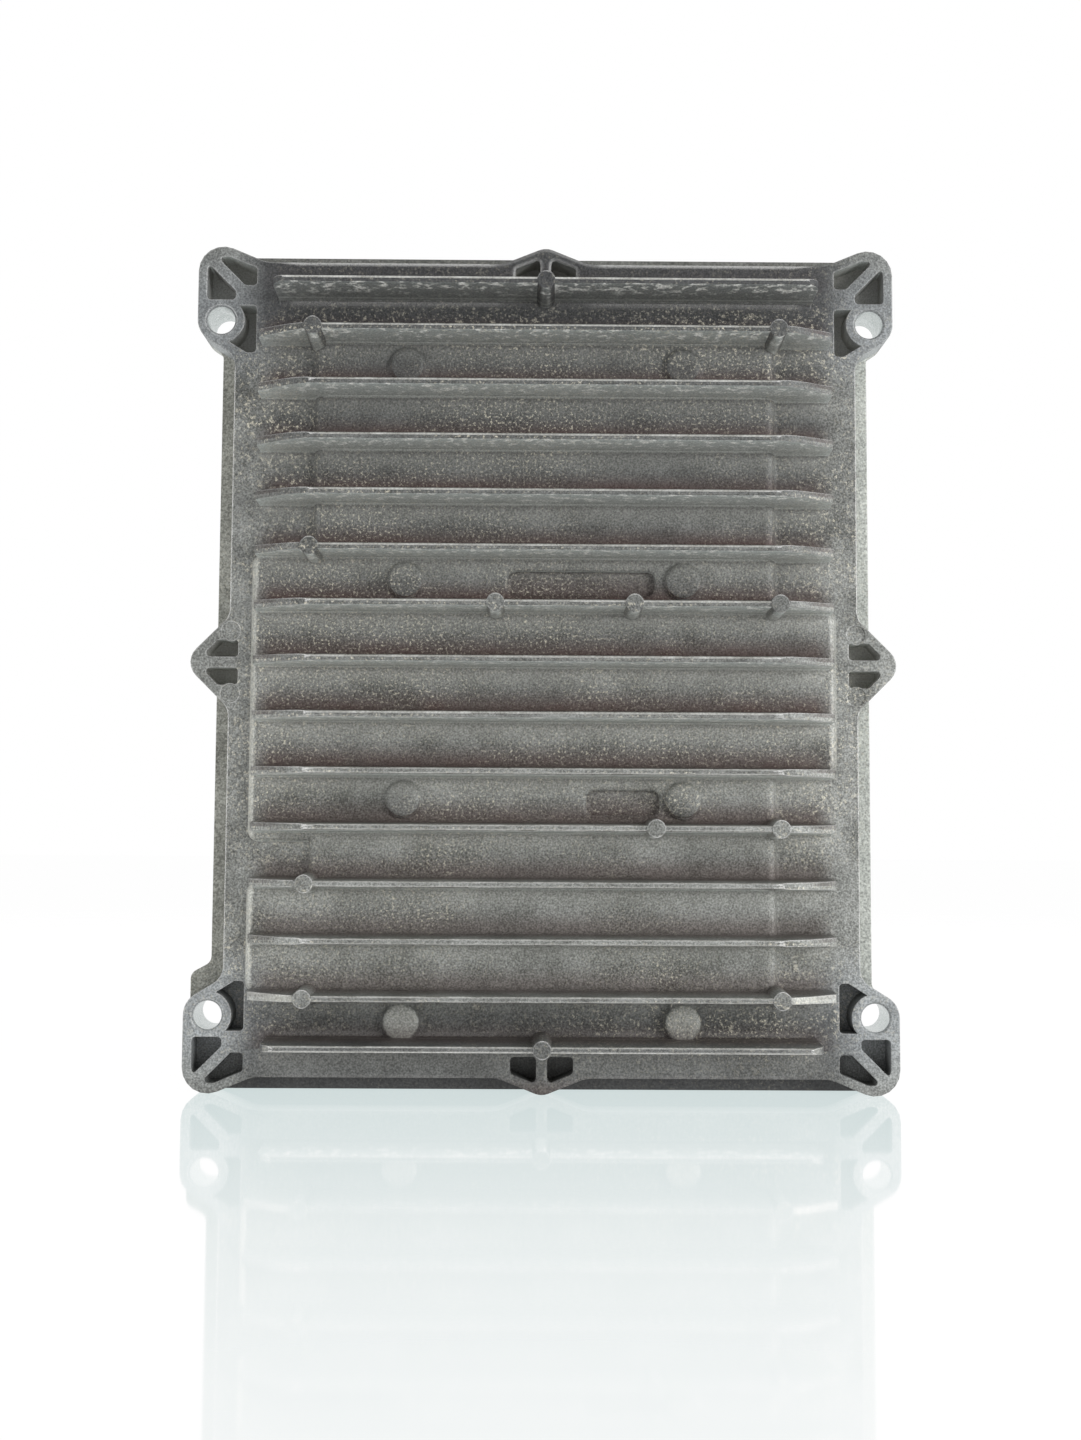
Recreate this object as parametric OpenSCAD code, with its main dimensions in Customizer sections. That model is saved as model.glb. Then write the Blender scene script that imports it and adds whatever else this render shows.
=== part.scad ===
// Engine control unit of the finned kind that is bolted to an engine.
// A die-cast housing with cooling fins and a cast rear cover close round a circuit board.
// Two plug sockets on the board stand out through the cover. The unit stands upright, fins towards -Y.
// Each sub-part is drawn lying on its back: x across the unit, y up it and z out through the fins,
// with z = 0 on the front face that carries the ears. The module standing() turns it upright.

/* [Housing] */
// Width of the front face
body_w = 191; // [186:0.5:195]
// Height of the front face
body_h = 248.4; // [245:0.2:252]
// Depth from the front face back to the joint with the cover
housing_depth = 9.5; // [8.6:0.1:13]
// Thickness of the cast walls
wall = 3; // [2.4:0.1:3.4]
// Height of the raised field under the fins
field_rise = 3; // [2.4:0.1:4]
// Width of the solid rim beside the inner space
side_rim = 7.5; // [6.5:0.1:8.5]
// Width of the solid rim above and below the inner space
end_rim = 11.7; // [11:0.1:13]

/* [Fins] */
// Distance of the fins' ends from the sides of the front face
fin_inset = 8.5; // [6:0.1:12]
// Length of the sloping part at each end of a fin
fin_slope = 14; // [10:0.5:18]
// Height of the fins above the front face
fin_height = 16; // [13:0.1:20]
// Height of the fins at their ends
fin_end_height = 8; // [6.5:0.1:10]
// Thickness of the fins at the crest
fin_crest = 1.9; // [1.5:0.1:2.6]
// Draft of the fins' sides
fin_draft = 2.2; // [1:0.1:3]
// Radius at the root of the fins
fin_root_r = 2.3; // [1:0.1:2.4]
// Distance of the short fins' ends from the sides of the front face
end_fin_inset = 13.5; // [11:0.1:18]
// Distance of the short fins from the top and the bottom edge
end_fin_drop = 10.6; // [9.8:0.1:11.4]
// Diameter of the ejector pads on the fins
pad_d = 5.4; // [4:0.1:7]

/* [Ears] */
// Distance of the mounting holes outside the sides of the front face
mount_reach = 4.5; // [3.5:0.1:6]
// Distance of the mounting holes from the top and the bottom edge
mount_inset = 18.2; // [17:0.1:20]
// Diameter of the mounting holes
mount_hole_d = 8.5; // [6.5:0.1:9]
// Radius of the metal round a mounting hole
mount_boss_r = 7.2; // [6.6:0.1:8]
// Distance from a mounting hole to the middle of the rounded tip beyond it
tip_offset = 15.4; // [14.5:0.1:17]
// Radius of the corner tips
tip_r = 7.7; // [7:0.1:8.5]
// Slope of a corner ear's edge beside the mounting hole
boss_flank = 31.5; // [26:0.5:38]
// Slope of a corner ear's edge beside the tip
tip_flank = 22.7; // [19:0.1:27]
// Radius at the point of the middle ears
point_r = 5.8; // [4.5:0.1:7]
// Slope of the side ears' edges
side_flank = 45; // [40:0.5:50]
// Slope of the top and bottom ears' edges
end_flank = 22; // [18:0.5:26]
// Wall left round the cored pockets
ear_wall = 2.7; // [2.2:0.1:3.2]
// Thickness of the webs between the pockets
web = 3.3; // [2.6:0.1:4]
// Depth of the cored pockets
pocket_depth = 7.5; // [5:0.1:8]

/* [Rear cover] */
// Distance that the cover's flange stands out beside the front face
cover_reach = 5.5; // [4.5:0.1:7]
// Thickness of the flange
flange_t = 4.5; // [3.5:0.1:6]
// Height of the pan above the flange
pan_rise = 6; // [5:0.1:10]
// Thickness of the pan's floor
pan_floor = 2.5; // [2:0.1:3.2]
// Height of the larger lug beside the lower left mounting hole
lug_h = 38; // [33:0.5:48]
// Width of the sealing bead
seal_w = 2; // [1.4:0.1:2.4]
// Depth of the sealing bead
seal_t = 1.2; // [0.8:0.1:1.8]

/* [Screws] */
// Diameter of the cover screws
cover_screw_d = 4; // [3:0.1:4]
// Length of the cover screws under the head
cover_screw_length = 11; // [8.5:0.1:11.5]
// Diameter of the board screws
board_screw_d = 3; // [2.5:0.1:3]
// Length of the board screws under the head
board_screw_length = 6.6; // [5:0.1:7]
// Diameter of the socket screws
socket_screw_d = 3; // [2.5:0.1:3.5]
// Length of the socket screws under the head
socket_screw_length = 8.5; // [7:0.1:9.5]

/* [Circuit board] */
// Thickness of the board
board_t = 1.6; // [1.2:0.1:2]
// Gap between the board and the housing's joint face
board_sink = 2; // [1.6:0.1:2.6]
// Distance between the columns of board screws
pillar_pitch_x = 84; // [78:1:90]
// Diameter of the pillars that carry the board
pillar_d = 8; // [6.5:0.1:9]

/* [Plug sockets] */
// Columns of pins in the engine socket
engine_columns = 16; // [10:1:17]
// Columns of pins in the vehicle socket
vehicle_columns = 12; // [8:1:17]
// Distance between pin columns
pin_pitch = 3.4; // [3:0.1:3.6]
// Distance between pin rows
row_pitch = 5.2; // [4.4:0.1:5.6]
// Width of a pin
pin_w = 0.7; // [0.5:0.1:0.9]
// Length of the pins inside the socket
pin_reach = 7; // [5:0.5:9]
// Depth of the sockets behind their flange
socket_length = 15; // [13:0.5:24]
// Thickness of the socket walls
socket_wall = 2; // [1.4:0.1:2.6]
// Thickness of the socket flanges
socket_flange_t = 3; // [2.4:0.1:4]
// Distance between the flanges of the two sockets
socket_gap = 10.8; // [8:0.1:13]
// Height of the sockets above the lower edge of the front face
socket_rise = 60.2; // [54:0.2:63]

/* [Vent] */
// Diameter of the vent plug's cap
vent_d = 15; // [12:0.5:20]
// Height of the cap
vent_cap_h = 4; // [3:0.1:6]
// Diameter of the vent's stem
vent_stem_d = 7; // [6:0.1:9]

/* [Hidden] */
$fn = 48;

// Colours of the materials
cast_grey = [0.44, 0.43, 0.41];
cover_grey = [0.50, 0.49, 0.47];
steel = [0.62, 0.63, 0.65];
rubber_black = [0.07, 0.07, 0.08];
plastic_black = [0.10, 0.10, 0.11];
board_green = [0.07, 0.25, 0.14];
chip_black = [0.08, 0.08, 0.09];
pin_brass = [0.75, 0.62, 0.32];
can_silver = [0.75, 0.76, 0.78];
pad_grey = [0.55, 0.60, 0.66];
ceramic_tan = [0.66, 0.53, 0.38];
membrane_white = [0.88, 0.88, 0.86];

// Small allowances
overlap = 0.4;
slip = 0.05;
cut = 1;
arc_steps = 6;
fillet_steps = 4;
corner_share = 0.55;

// Main places: half sizes of the front face, the mounting holes, the tips and the standing edge
half = [body_w / 2, body_h / 2];
mount = [half.x + mount_reach, half.y - mount_inset];
ear_x = mount.x + mount_boss_r;
tip = [ear_x - tip_r, mount.y + tip_offset];
foot = tip.y + tip_r;
quarters = [[1, 1], [-1, 1], [-1, -1], [1, -1]];

// Depths along z, from the front to the rear
joint_z = -housing_depth;
flange_z = joint_z - flange_t;
pan_z = flange_z - pan_rise;
land_rise = 1;
land_z = pan_z - land_rise;
pan_inner_z = pan_z + pan_floor;
board_rear_z = joint_z + board_sink;
board_front_z = board_rear_z + board_t;
rim_ceiling_z = -wall;
field_ceiling_z = field_rise - wall;
socket_flange_z = land_z - socket_flange_t;
mouth_z = socket_flange_z - socket_length;
socket_floor_t = 1;
socket_floor_z = socket_flange_z - socket_floor_t;
pin_tip_z = socket_floor_z - pin_reach;
pin_through = 1;

// Inner space
cavity = [half.x - side_rim, half.y - end_rim];
cavity_r = 12;
board_gap = 1.5;
board_half = cavity - [board_gap, board_gap];
pan_margin = [2, 1];
pan_wall_half = cavity + pan_margin;
pan_half = pan_wall_half - [wall, wall];
pan_r = 14;

// Fins
main_fins = 13;
fin_margin = 8.35;
fin_pitch = (body_h - 2 * fin_margin) / (main_fins + 1);
fin_length = body_w - 2 * fin_inset;
fin_level = fin_length - 2 * fin_slope;
end_fin_length = body_w - 2 * end_fin_inset;
end_fin_y = half.y - end_fin_drop;
fin_rows = [for (i = [0 : main_fins - 1]) (i - (main_fins - 1) / 2) * fin_pitch];
crest_ratio = 0.45;
crest_r = crest_ratio * fin_crest;
fin_end_r = 1.5;
level_r = 25;
end_fin_r = 4.5;
pad_rise = 0.2;
pad_draft = 0.5;
pad_inset = 3.5;
pad_side_x = fin_level / 2 - pad_inset;
pad_middle_x = [-14.5, 26.6, 33];
pad_places = [[0, end_fin_y], [-pad_side_x, 6 * fin_pitch], [pad_side_x, 6 * fin_pitch],
              [-pad_side_x, 2 * fin_pitch], [pad_middle_x[0], fin_pitch], [pad_middle_x[1], fin_pitch],
              [pad_side_x, fin_pitch], [pad_middle_x[2], -3 * fin_pitch], [pad_side_x, -3 * fin_pitch],
              [-pad_side_x, -4 * fin_pitch], [-pad_side_x, -6 * fin_pitch],
              [pad_side_x, -6 * fin_pitch], [0, -end_fin_y]];

// Raised field: a middle block and three side blocks, each [left, right, low, high]
field_slope = 2.8;
field_steps = 3;
field_inset = 2.6;
field_edge = 6.7;
field_x = fin_level / 2 - field_inset;
field_side_x = half.x - field_edge;
field_r = 3.5;
notch_rows = 3.28;
notch_y = -notch_rows * fin_pitch;
fields = [[-field_x, field_x, -6 * fin_pitch, 6 * fin_pitch],
          [-field_side_x, -field_x + 2 * field_r, notch_y, 2 * fin_pitch],
          [-field_side_x, -field_x + 2 * field_r, -6 * fin_pitch, -4 * fin_pitch],
          [field_x - 2 * field_r, field_side_x, -2 * fin_pitch, fin_pitch]];

// Hollows in the field above the heat pedestals, each [left, right, low, high]
hollow_depth = 1.6;
hollow_r = 2.5;
hollow_gap = fin_crest / 2 + fin_height * tan(fin_draft) + fin_root_r;
hollow_h = 7.5;
wide_hollow_x = [-11, 33.5];
wide_hollow_y = fin_pitch + hollow_gap;
small_hollow_x = [13, 35];
small_hollow_y = hollow_gap - 3 * fin_pitch;
hollows = [[wide_hollow_x[0], wide_hollow_x[1], wide_hollow_y, wide_hollow_y + hollow_h],
           [small_hollow_x[0], small_hollow_x[1], small_hollow_y, small_hollow_y + hollow_h]];
pedestal_margin = 2;
thermal_t = 0.6;
transistor_h = 2.3;
pedestal_z = board_front_z + transistor_h + thermal_t;

// Board pillars stand on every fourth valley between fins
pillar_rows = [5.5 * fin_pitch, 1.5 * fin_pitch, -2.5 * fin_pitch, -6.5 * fin_pitch];
pillars = [for (row = pillar_rows, side = [-1, 1]) [side * pillar_pitch_x / 2, row]];
bump_d = 11.4;
bump_rise = 1.6;
low_bump_rise = 3;
bump_taper = 0.7;
bump_edge_r = 1.3;
neck_w = 8;
neck_rise = 2.2;
pillar_bore_z = 0.8;

// Cover screws: corners, sides and ends
corner_screw_offset = [-7.7, 7.9];
side_screw_y = 9.5;
side_screw_inset = 0.4;
end_screw_x = 45;
end_screw_inset = 4.7;
corner_screw = mount + corner_screw_offset;
side_screw = [half.x - side_screw_inset, side_screw_y];
end_screw = [end_screw_x, half.y - end_screw_inset];
cover_screw_places = [for (q = quarters, p = [corner_screw, side_screw, end_screw])
                          [q.x * p.x, q.y * p.y]];
ejector_places = [for (q = quarters) [q.x * side_screw.x, q.y * side_screw.y]];
ejector_d = 5.6;
ejector_depth = 0.3;
cover_bore_z = -2;
side_pad_r = 3.1;
mount_places = [for (q = quarters) [q.x * mount.x, q.y * mount.y]];
mount_chamfer = 0.6;
head_ratio = 1.75;
head_h_ratio = 0.65;
head_edge_ratio = 0.2;
drive_span = 0.55;
drive_w = 0.28;
drive_depth = 0.55;

// Sealing bead between housing and cover
seal_offset = 2.6;
seal_half = cavity + [seal_offset, seal_offset];
seal_r = 14;

// Sockets
pin_rows = 3;
key_w = 1.6;
key_h = 1.2;
key_places = [-0.36, 0.22];
ramp_w = 8;
ramp_h = 1.8;
ramp_length = 6;
ramp_inset = 2.5;
socket_r = 3;
mouth_r = 1.5;
base_r = 1;
mouth_margin = 5;
base_margin = 4.6;
base_clear = 0.6;
flange_reach_x = 8.5;
flange_reach_y = 8;
flange_r = 4;
socket_screw_inset = 4.4;
socket_seal_w = 1.6;
socket_seal_t = 1.2;
socket_seal_reach = 2.4;
screw_boss_d = socket_screw_d + 4.5;
screw_boss_h = 5;
screw_boss_cap = 1;
pin_hole_ratio = 1.5;
pin_hole_d = pin_hole_ratio * pin_w;
engine_flange_x = 2;

// Vent
vent_place = board_place(0.6, 3.5);
vent_land_r = vent_d / 2 + 2;
vent_seal_t = 1;
vent_seal_w = 1.6;
vent_stem_length = land_rise + pan_floor + 2;
vent_bore_ratio = 0.55;
vent_bore_d = vent_bore_ratio * vent_stem_d;
vent_membrane_ratio = 0.9;
vent_membrane_t = 0.4;
vent_slots = 4;
vent_slot_w = 2;
vent_slot_h = 1;

// Place on the board: across as a share of its half width, up in fin pitches
function board_place(across, rows) = [across * board_half.x, rows * fin_pitch];

// Places in columns and rows round a middle
function grid(middle, pitch, columns, rows) =
    [for (i = [0 : columns - 1], j = [0 : rows - 1])
         middle + [(i - (columns - 1) / 2) * pitch.x, (j - (rows - 1) / 2) * pitch.y]];

function unit(v) = v / norm(v);

function turned(v, angle) =
    [v.x * cos(angle) - v.y * sin(angle), v.x * sin(angle) + v.y * cos(angle)];

// Points of the arc that rounds corner b of the path a, b, c; short sides limit the radius
function corner_arc(a, b, c, r) =
    let (u = unit(a - b),
         v = unit(c - b),
         half_angle = acos(u * v) / 2,
         room = corner_share * min(norm(a - b), norm(c - b)),
         reach = min(r / tan(half_angle), room),
         radius = reach * tan(half_angle),
         middle = b + unit(u + v) * radius / sin(half_angle),
         start = b + u * reach - middle,
         way = u.x * v.y - u.y * v.x > 0 ? -1 : 1)
    [for (i = [0 : arc_steps]) middle + turned(start, way * (180 - 2 * half_angle) * i / arc_steps)];

// Outline from [x, y, radius] corners, with an arc at each corner whose radius is not zero
function rounded(path) =
    let (count = len(path))
    [for (i = [0 : count - 1])
        let (a = path[(i + count - 1) % count],
             b = path[i],
             c = path[(i + 1) % count])
        each b[2] > 0
            ? corner_arc([a.x, a.y], [b.x, b.y], [c.x, c.y], b[2])
            : [[b.x, b.y]]];

function box_path(h, r) = [[h.x, h.y, r], [-h.x, h.y, r], [-h.x, -h.y, r], [h.x, -h.y, r]];

function area_path(area, r) =
    [[area[1], area[3], r], [area[0], area[3], r], [area[0], area[2], r], [area[1], area[2], r]];

function backwards(path) = [for (i = [len(path) - 1 : -1 : 0]) path[i]];

function flipped(path, q) = [for (p = path) [q.x * p.x, q.y * p.y, p[2]]];

function part_of(path, first, last) = [for (i = [first : last]) path[i]];

// Outline of the ears in the upper right quarter, from the point of the side ear to that of the top ear
side_point_x = ear_x + point_r * (1 / sin(side_flank) - 1);
end_point_y = foot + point_r * (1 / cos(end_flank) - 1);
side_root_y = (side_point_x - half.x) * tan(side_flank);
end_root_x = (end_point_y - half.y) / tan(end_flank);
boss_root_y = mount.y - (mount_boss_r - sin(boss_flank) * (half.x - mount.x)) / cos(boss_flank);
boss_corner_y = mount.y - mount_boss_r * (1 - sin(boss_flank)) / cos(boss_flank);
tip_corner_y = tip.y + tip_r * (1 + sin(tip_flank)) / cos(tip_flank);
tip_root_x = tip.x + (cos(tip_flank) * (half.y - tip.y) - tip_r) / sin(tip_flank);
root_r = 6;
wide_root_r = 12;
quarter_path = [[side_point_x, 0, point_r],
                [half.x, side_root_y, root_r],
                [half.x, boss_root_y, root_r],
                [ear_x, boss_corner_y, mount_boss_r],
                [ear_x, tip_corner_y, tip_r],
                [tip_root_x, half.y, wide_root_r],
                [end_root_x, half.y, wide_root_r],
                [0, end_point_y, point_r]];
quarter_last = len(quarter_path) - 1;
housing_path = concat(
    quarter_path,
    backwards(flipped(part_of(quarter_path, 0, quarter_last - 1), [-1, 1])),
    flipped(part_of(quarter_path, 1, quarter_last), [-1, -1]),
    backwards(flipped(part_of(quarter_path, 1, quarter_last - 1), [1, -1])));

// Outline of the rear cover, with its larger lug at the lower left
cover_x = half.x + cover_reach;
cover_root_y = mount.y - (mount_boss_r - sin(boss_flank) * (cover_x - mount.x)) / cos(boss_flank);
lug_r = 3;
lug_slope = 3.4;
cover_ear = [[cover_x, cover_root_y, lug_r],
             [ear_x, boss_corner_y, mount_boss_r],
             [ear_x, foot, tip_r]];
cover_lug = [[-ear_x, -foot, tip_r],
             [-ear_x, lug_h - foot - lug_slope, lug_r],
             [-cover_x, lug_h - foot, lug_r]];
cover_path = concat(
    cover_ear,
    backwards(flipped(cover_ear, [-1, 1])),
    backwards(cover_lug),
    backwards(flipped(cover_ear, [1, -1])));

// Cored pockets of a corner ear in the upper right quarter
pocket_r = 1.2;
pocket_inset = 6.4;
pocket_in_x = half.x - pocket_inset;
tip_core_r = tip_r - ear_wall;
web_along = [cos(45), sin(45)];
web_across = [-sin(45), cos(45)];
core_reach = sqrt(tip_core_r * tip_core_r - web * web / 4);
tip_normal = [-sin(tip_flank), cos(tip_flank)];
slope_y = tip.y + (tip_core_r + sin(tip_flank) * (pocket_in_x - tip.x)) / cos(tip_flank);
web_shift = web / 2 / cos(45);
upper_pocket_rise = 11;
upper_pocket_y = mount.y + upper_pocket_rise;
upper_pocket = [concat(tip + core_reach * web_along + web / 2 * web_across, pocket_r),
                concat(tip + tip_core_r * tip_normal, pocket_r),
                [pocket_in_x, slope_y, pocket_r],
                [pocket_in_x, upper_pocket_y, pocket_r],
                [tip.x + upper_pocket_y - tip.y - web_shift, upper_pocket_y, pocket_r]];
outer_pocket_inset = 4.4;
boss_thinning = 0.8;
outer_pocket_x = mount.x - outer_pocket_inset;
outer_pocket_y = mount.y + mount_boss_r - boss_thinning;
outer_pocket = [concat(tip + core_reach * web_along - web / 2 * web_across, pocket_r),
                [outer_pocket_x, tip.y + outer_pocket_x - tip.x - web_shift, pocket_r],
                [outer_pocket_x, outer_pocket_y, pocket_r],
                [ear_x - ear_wall, outer_pocket_y, pocket_r],
                [ear_x - ear_wall, tip.y, pocket_r]];
inner_pocket_rise = 4.6;
inner_pocket_drop = 10.2;
inner_top_y = mount.y + inner_pocket_rise;
inner_low_y = mount.y - inner_pocket_drop;
boss_core = mount_boss_r - ear_wall;
inner_low_x = mount.x + (boss_core + cos(boss_flank) * (inner_low_y - mount.y)) / sin(boss_flank);
inner_cut_x = mount.x - cut;
inner_cut_y = mount.y - (boss_core - sin(boss_flank) * (inner_cut_x - mount.x)) / cos(boss_flank);
inner_pocket = [[pocket_in_x, inner_top_y, pocket_r],
                [pocket_in_x, inner_low_y, pocket_r],
                [inner_low_x, inner_low_y, pocket_r],
                [inner_cut_x, inner_cut_y, 0],
                [inner_cut_x, inner_top_y, 0]];

// Cored pockets of the middle ears
side_pocket_y = 6.9;
side_pocket_x = half.x - ear_wall;
side_edge = side_point_x - ear_wall / sin(side_flank);
side_pocket = [[side_pocket_x, web / 2, pocket_r],
               [side_edge - web / 2 / tan(side_flank), web / 2, pocket_r],
               [side_edge - side_pocket_y / tan(side_flank), side_pocket_y, pocket_r],
               [side_pocket_x, side_pocket_y, pocket_r]];
end_pocket_x = 9.4;
end_pocket_gap = 4.3;
end_pocket_y = end_fin_y + end_pocket_gap;
end_edge = end_point_y - ear_wall / cos(end_flank);
end_pocket = [[web / 2, end_pocket_y, pocket_r],
              [end_pocket_x, end_pocket_y, pocket_r],
              [end_pocket_x, end_edge - end_pocket_x * tan(end_flank), pocket_r],
              [web / 2, end_edge - web / 2 * tan(end_flank), pocket_r]];

// Fin cross-section, drawn across the fin, with its root fillets on the front face
fin_foot = fin_crest / 2 + fin_height * tan(fin_draft);
skirt_ratio = 1.3;
fin_skirt = fin_foot + skirt_ratio * fin_root_r;
fin_section = rounded([[-fin_skirt, -overlap, 0], [fin_skirt, -overlap, 0], [fin_skirt, 0, 0],
                       [fin_foot, 0, fin_root_r], [fin_crest / 2, fin_height, crest_r],
                       [-fin_crest / 2, fin_height, crest_r], [-fin_foot, 0, fin_root_r],
                       [-fin_skirt, 0, 0]]);
// Fillet between a fin and the raised field
field_foot = fin_crest / 2 + (fin_height - field_rise) * tan(fin_draft);
field_fillet = concat([[-overlap, -overlap], [fin_root_r, -overlap]],
                      [for (i = [0 : fillet_steps])
                           fin_root_r * [1 - sin(90 * i / fillet_steps), 1 - cos(90 * i / fillet_steps)]],
                      [[-overlap, fin_root_r]]);

// Side view of the fins, which slope down at both ends
fin_shape = rounded([[-fin_length / 2, -cut, 0], [fin_length / 2, -cut, 0],
                     [fin_length / 2, fin_end_height, fin_end_r], [fin_level / 2, fin_height, level_r],
                     [-fin_level / 2, fin_height, level_r], [-fin_length / 2, fin_end_height, fin_end_r]]);
end_fin_shape = rounded([[-end_fin_length / 2, -cut, 0], [end_fin_length / 2, -cut, 0],
                         [end_fin_length / 2, fin_height, end_fin_r],
                         [-end_fin_length / 2, fin_height, end_fin_r]]);

// Sizes of a socket with the given number of pin columns
function mouth_half(columns) =
    [(columns - 1) * pin_pitch, (pin_rows - 1) * row_pitch] / 2 + [mouth_margin, mouth_margin];
function shell_half(columns) = mouth_half(columns) + [socket_wall, socket_wall];
function base_half(columns) =
    [(columns - 1) * pin_pitch, (pin_rows - 1) * row_pitch] / 2 + [base_margin, base_margin];
function flange_half(columns) = shell_half(columns) + [flange_reach_x, flange_reach_y];
function socket_screw_places(columns) =
    [for (q = quarters) let (h = flange_half(columns) - [socket_screw_inset, socket_screw_inset])
         [q.x * h.x, q.y * h.y]];
function pin_places(columns) = grid([0, 0], [pin_pitch, row_pitch], columns, pin_rows);
socket_y = socket_rise - half.y;
engine_place = [engine_flange_x + flange_half(engine_columns).x, socket_y];
vehicle_place = [engine_flange_x - socket_gap - flange_half(vehicle_columns).x, socket_y];

// Chips on the front of the board
processor_place = board_place(-0.39, 0);
processor_w = 24;
processor_h = 1.5;
lead_w = 0.35;
lead_t = 0.2;
lead_reach = 1.4;
lead_pitch = 0.9;
lead_count = 24;
lead_row = (processor_w + lead_reach) / 2;
memory_place = board_place(-0.71, 0);
memory_size = [12, 18, 1.3];
driver_size = [9, 14, 2];
driver_gap = 1.8;
driver_pitch = [20, 0];
driver_y = socket_y - row_pitch - driver_gap - driver_size.y / 2;
driver_places = grid([board_place(-0.4, 0).x, driver_y], driver_pitch, 4, 1);
ceramic_size = [3.2, 1.6, 1.4];
ceramic_pitch = [9, 6];
ceramic_places = grid(board_place(0, 4.4), ceramic_pitch, 16, 2);
resistor_size = [2, 1.2, 0.6];
resistor_pitch = [8, 5];
resistor_places = grid(board_place(0, -1.5), resistor_pitch, 17, 3);
diode_size = [4.4, 3.6, 2.2];
diode_pitch = [8, 8];
diode_places = grid(board_place(0.6, 3.5), diode_pitch, 3, 2);

// Power transistors under the hollows, where the housing takes up their heat
transistor_size = [6.2, 6.6, transistor_h];
transistor_pitch = [8.4, 0];
wide_middle = [(wide_hollow_x[0] + wide_hollow_x[1]) / 2, wide_hollow_y + hollow_h / 2];
small_middle = [(small_hollow_x[0] + small_hollow_x[1]) / 2, small_hollow_y + hollow_h / 2];
transistor_places = concat(grid(wide_middle, transistor_pitch, 5, 1),
                           grid(small_middle, transistor_pitch, 2, 1));

// Taller parts on the rear of the board
can_d = 10;
can_h = 7.5;
can_base_h = 0.8;
can_pitch = [13, 14];
can_places = grid(board_place(-0.57, 3), can_pitch, 3, 2);
choke_size = [12.5, 12.5, 6.5];
choke_r = 2;
choke_pitch = [16, 0];
choke_places = grid(board_place(0.1, 3), choke_pitch, 3, 1);
crystal_place = board_place(-0.25, 1);
crystal_size = [11, 4.6, 3];
crystal_r = 2.2;
sensor_place = board_place(0.6, 2);
sensor_size = [7, 7, 3.4];
sensor_port_d = 3.4;
sensor_port_h = 1;

// Turns a part drawn lying on its back upright, with the middle of the unit's depth on the origin
module standing() {
    translate([0, (fin_height + pad_rise + mouth_z) / 2, foot])
        rotate([90, 0, 0])
            children();
}

// Straight solid with the given outline between two heights
module slab(path, low, high) {
    translate([0, 0, low])
        linear_extrude(height = high - low)
            polygon(path);
}

// Straight cylinder between two heights
module rod(d, low, high) {
    translate([0, 0, low])
        cylinder(d = d, h = high - low);
}

// Box by its middle, its size and its foot
module block(size, low) {
    translate([0, 0, low + size.z / 2])
        cube(size, center = true);
}

module at(places) {
    for (p = places)
        translate([p.x, p.y, 0])
            children();
}

module in_quarters() {
    for (sx = [0, 1], sy = [0, 1])
        mirror([sx, 0, 0])
            mirror([0, sy, 0])
                children();
}

// Solid drawn across the fins and run along them
module along_x(length) {
    rotate([90, 0, 90])
        linear_extrude(height = length, center = true)
            children();
}

// Solid drawn along the fins and run across them
module along_y(length) {
    rotate([90, 0, 0])
        linear_extrude(height = length, center = true)
            children();
}

module fin_at(y, length) {
    along_x(length)
        translate([y, 0])
            polygon(fin_section);
}

module fins() {
    intersection() {
        for (y = fin_rows)
            fin_at(y, fin_length + cut);
        along_y(body_h)
            polygon(fin_shape);
    }
    intersection() {
        for (side = [-1, 1])
            fin_at(side * end_fin_y, end_fin_length + cut);
        along_y(body_h)
            polygon(end_fin_shape);
    }
}

// Root fillets of the fins where they stand on the raised field
module field_fillets() {
    for (area = fields)
        for (y = fin_rows, side = [-1, 1])
            if (y + side * (field_foot + fin_root_r) > area[2]
                && y + side * (field_foot + fin_root_r) < area[3])
                translate([(area[0] + area[1]) / 2, y + side * field_foot, field_rise])
                    mirror([0, side < 0 ? 1 : 0, 0])
                        along_x(area[1] - area[0] - 2 * field_slope)
                            polygon(field_fillet);
}

// One block of the raised field, whose rounded edges run down to the front face
module field_block(area) {
    hull()
        for (x = [area[0] + field_r, area[1] - field_r], y = [area[2] + field_r, area[3] - field_r])
            translate([x, y, 0]) {
                rod(2 * field_r, -overlap, overlap);
                for (i = [1 : field_steps])
                    rod(2 * (field_r - field_slope * (1 - cos(90 * i / field_steps))),
                        0, field_rise * sin(90 * i / field_steps));
            }
}

module fin_pads() {
    at(pad_places)
        translate([0, 0, -overlap])
            cylinder(d1 = pad_d + 2 * pad_draft, d2 = pad_d, h = fin_height + pad_rise + overlap);
}

// Round swellings in the valleys where the board pillars stand inside
module bumps() {
    for (p = pillars) {
        low = p.y < fields[0][2];
        top = low ? low_bump_rise : field_rise + bump_rise;
        translate([p.x, p.y, 0])
            rotate_extrude()
                polygon(rounded([[0, -overlap, 0], [(bump_d + bump_taper) / 2, -overlap, 0],
                                 [(bump_d - bump_taper) / 2, top, bump_edge_r], [0, top, 0]]));
        if (low)
            translate([p.x, p.y + fin_pitch / 4, 0])
                block([neck_w, fin_pitch / 2, neck_rise + overlap], -overlap);
    }
}

module ear_pockets() {
    in_quarters() {
        slab(rounded(upper_pocket), -pocket_depth, cut);
        slab(rounded(outer_pocket), -pocket_depth, cut);
        difference() {
            slab(rounded(inner_pocket), -pocket_depth, cut);
            translate([mount.x, mount.y, 0])
                rod(2 * mount_boss_r, -pocket_depth - cut, 2 * cut);
        }
        difference() {
            slab(rounded(side_pocket), -pocket_depth, cut);
            translate([side_screw.x, side_screw.y, 0])
                rod(2 * side_pad_r, -pocket_depth - cut, 2 * cut);
        }
        slab(rounded(end_pocket), -pocket_depth, cut);
    }
}

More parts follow.
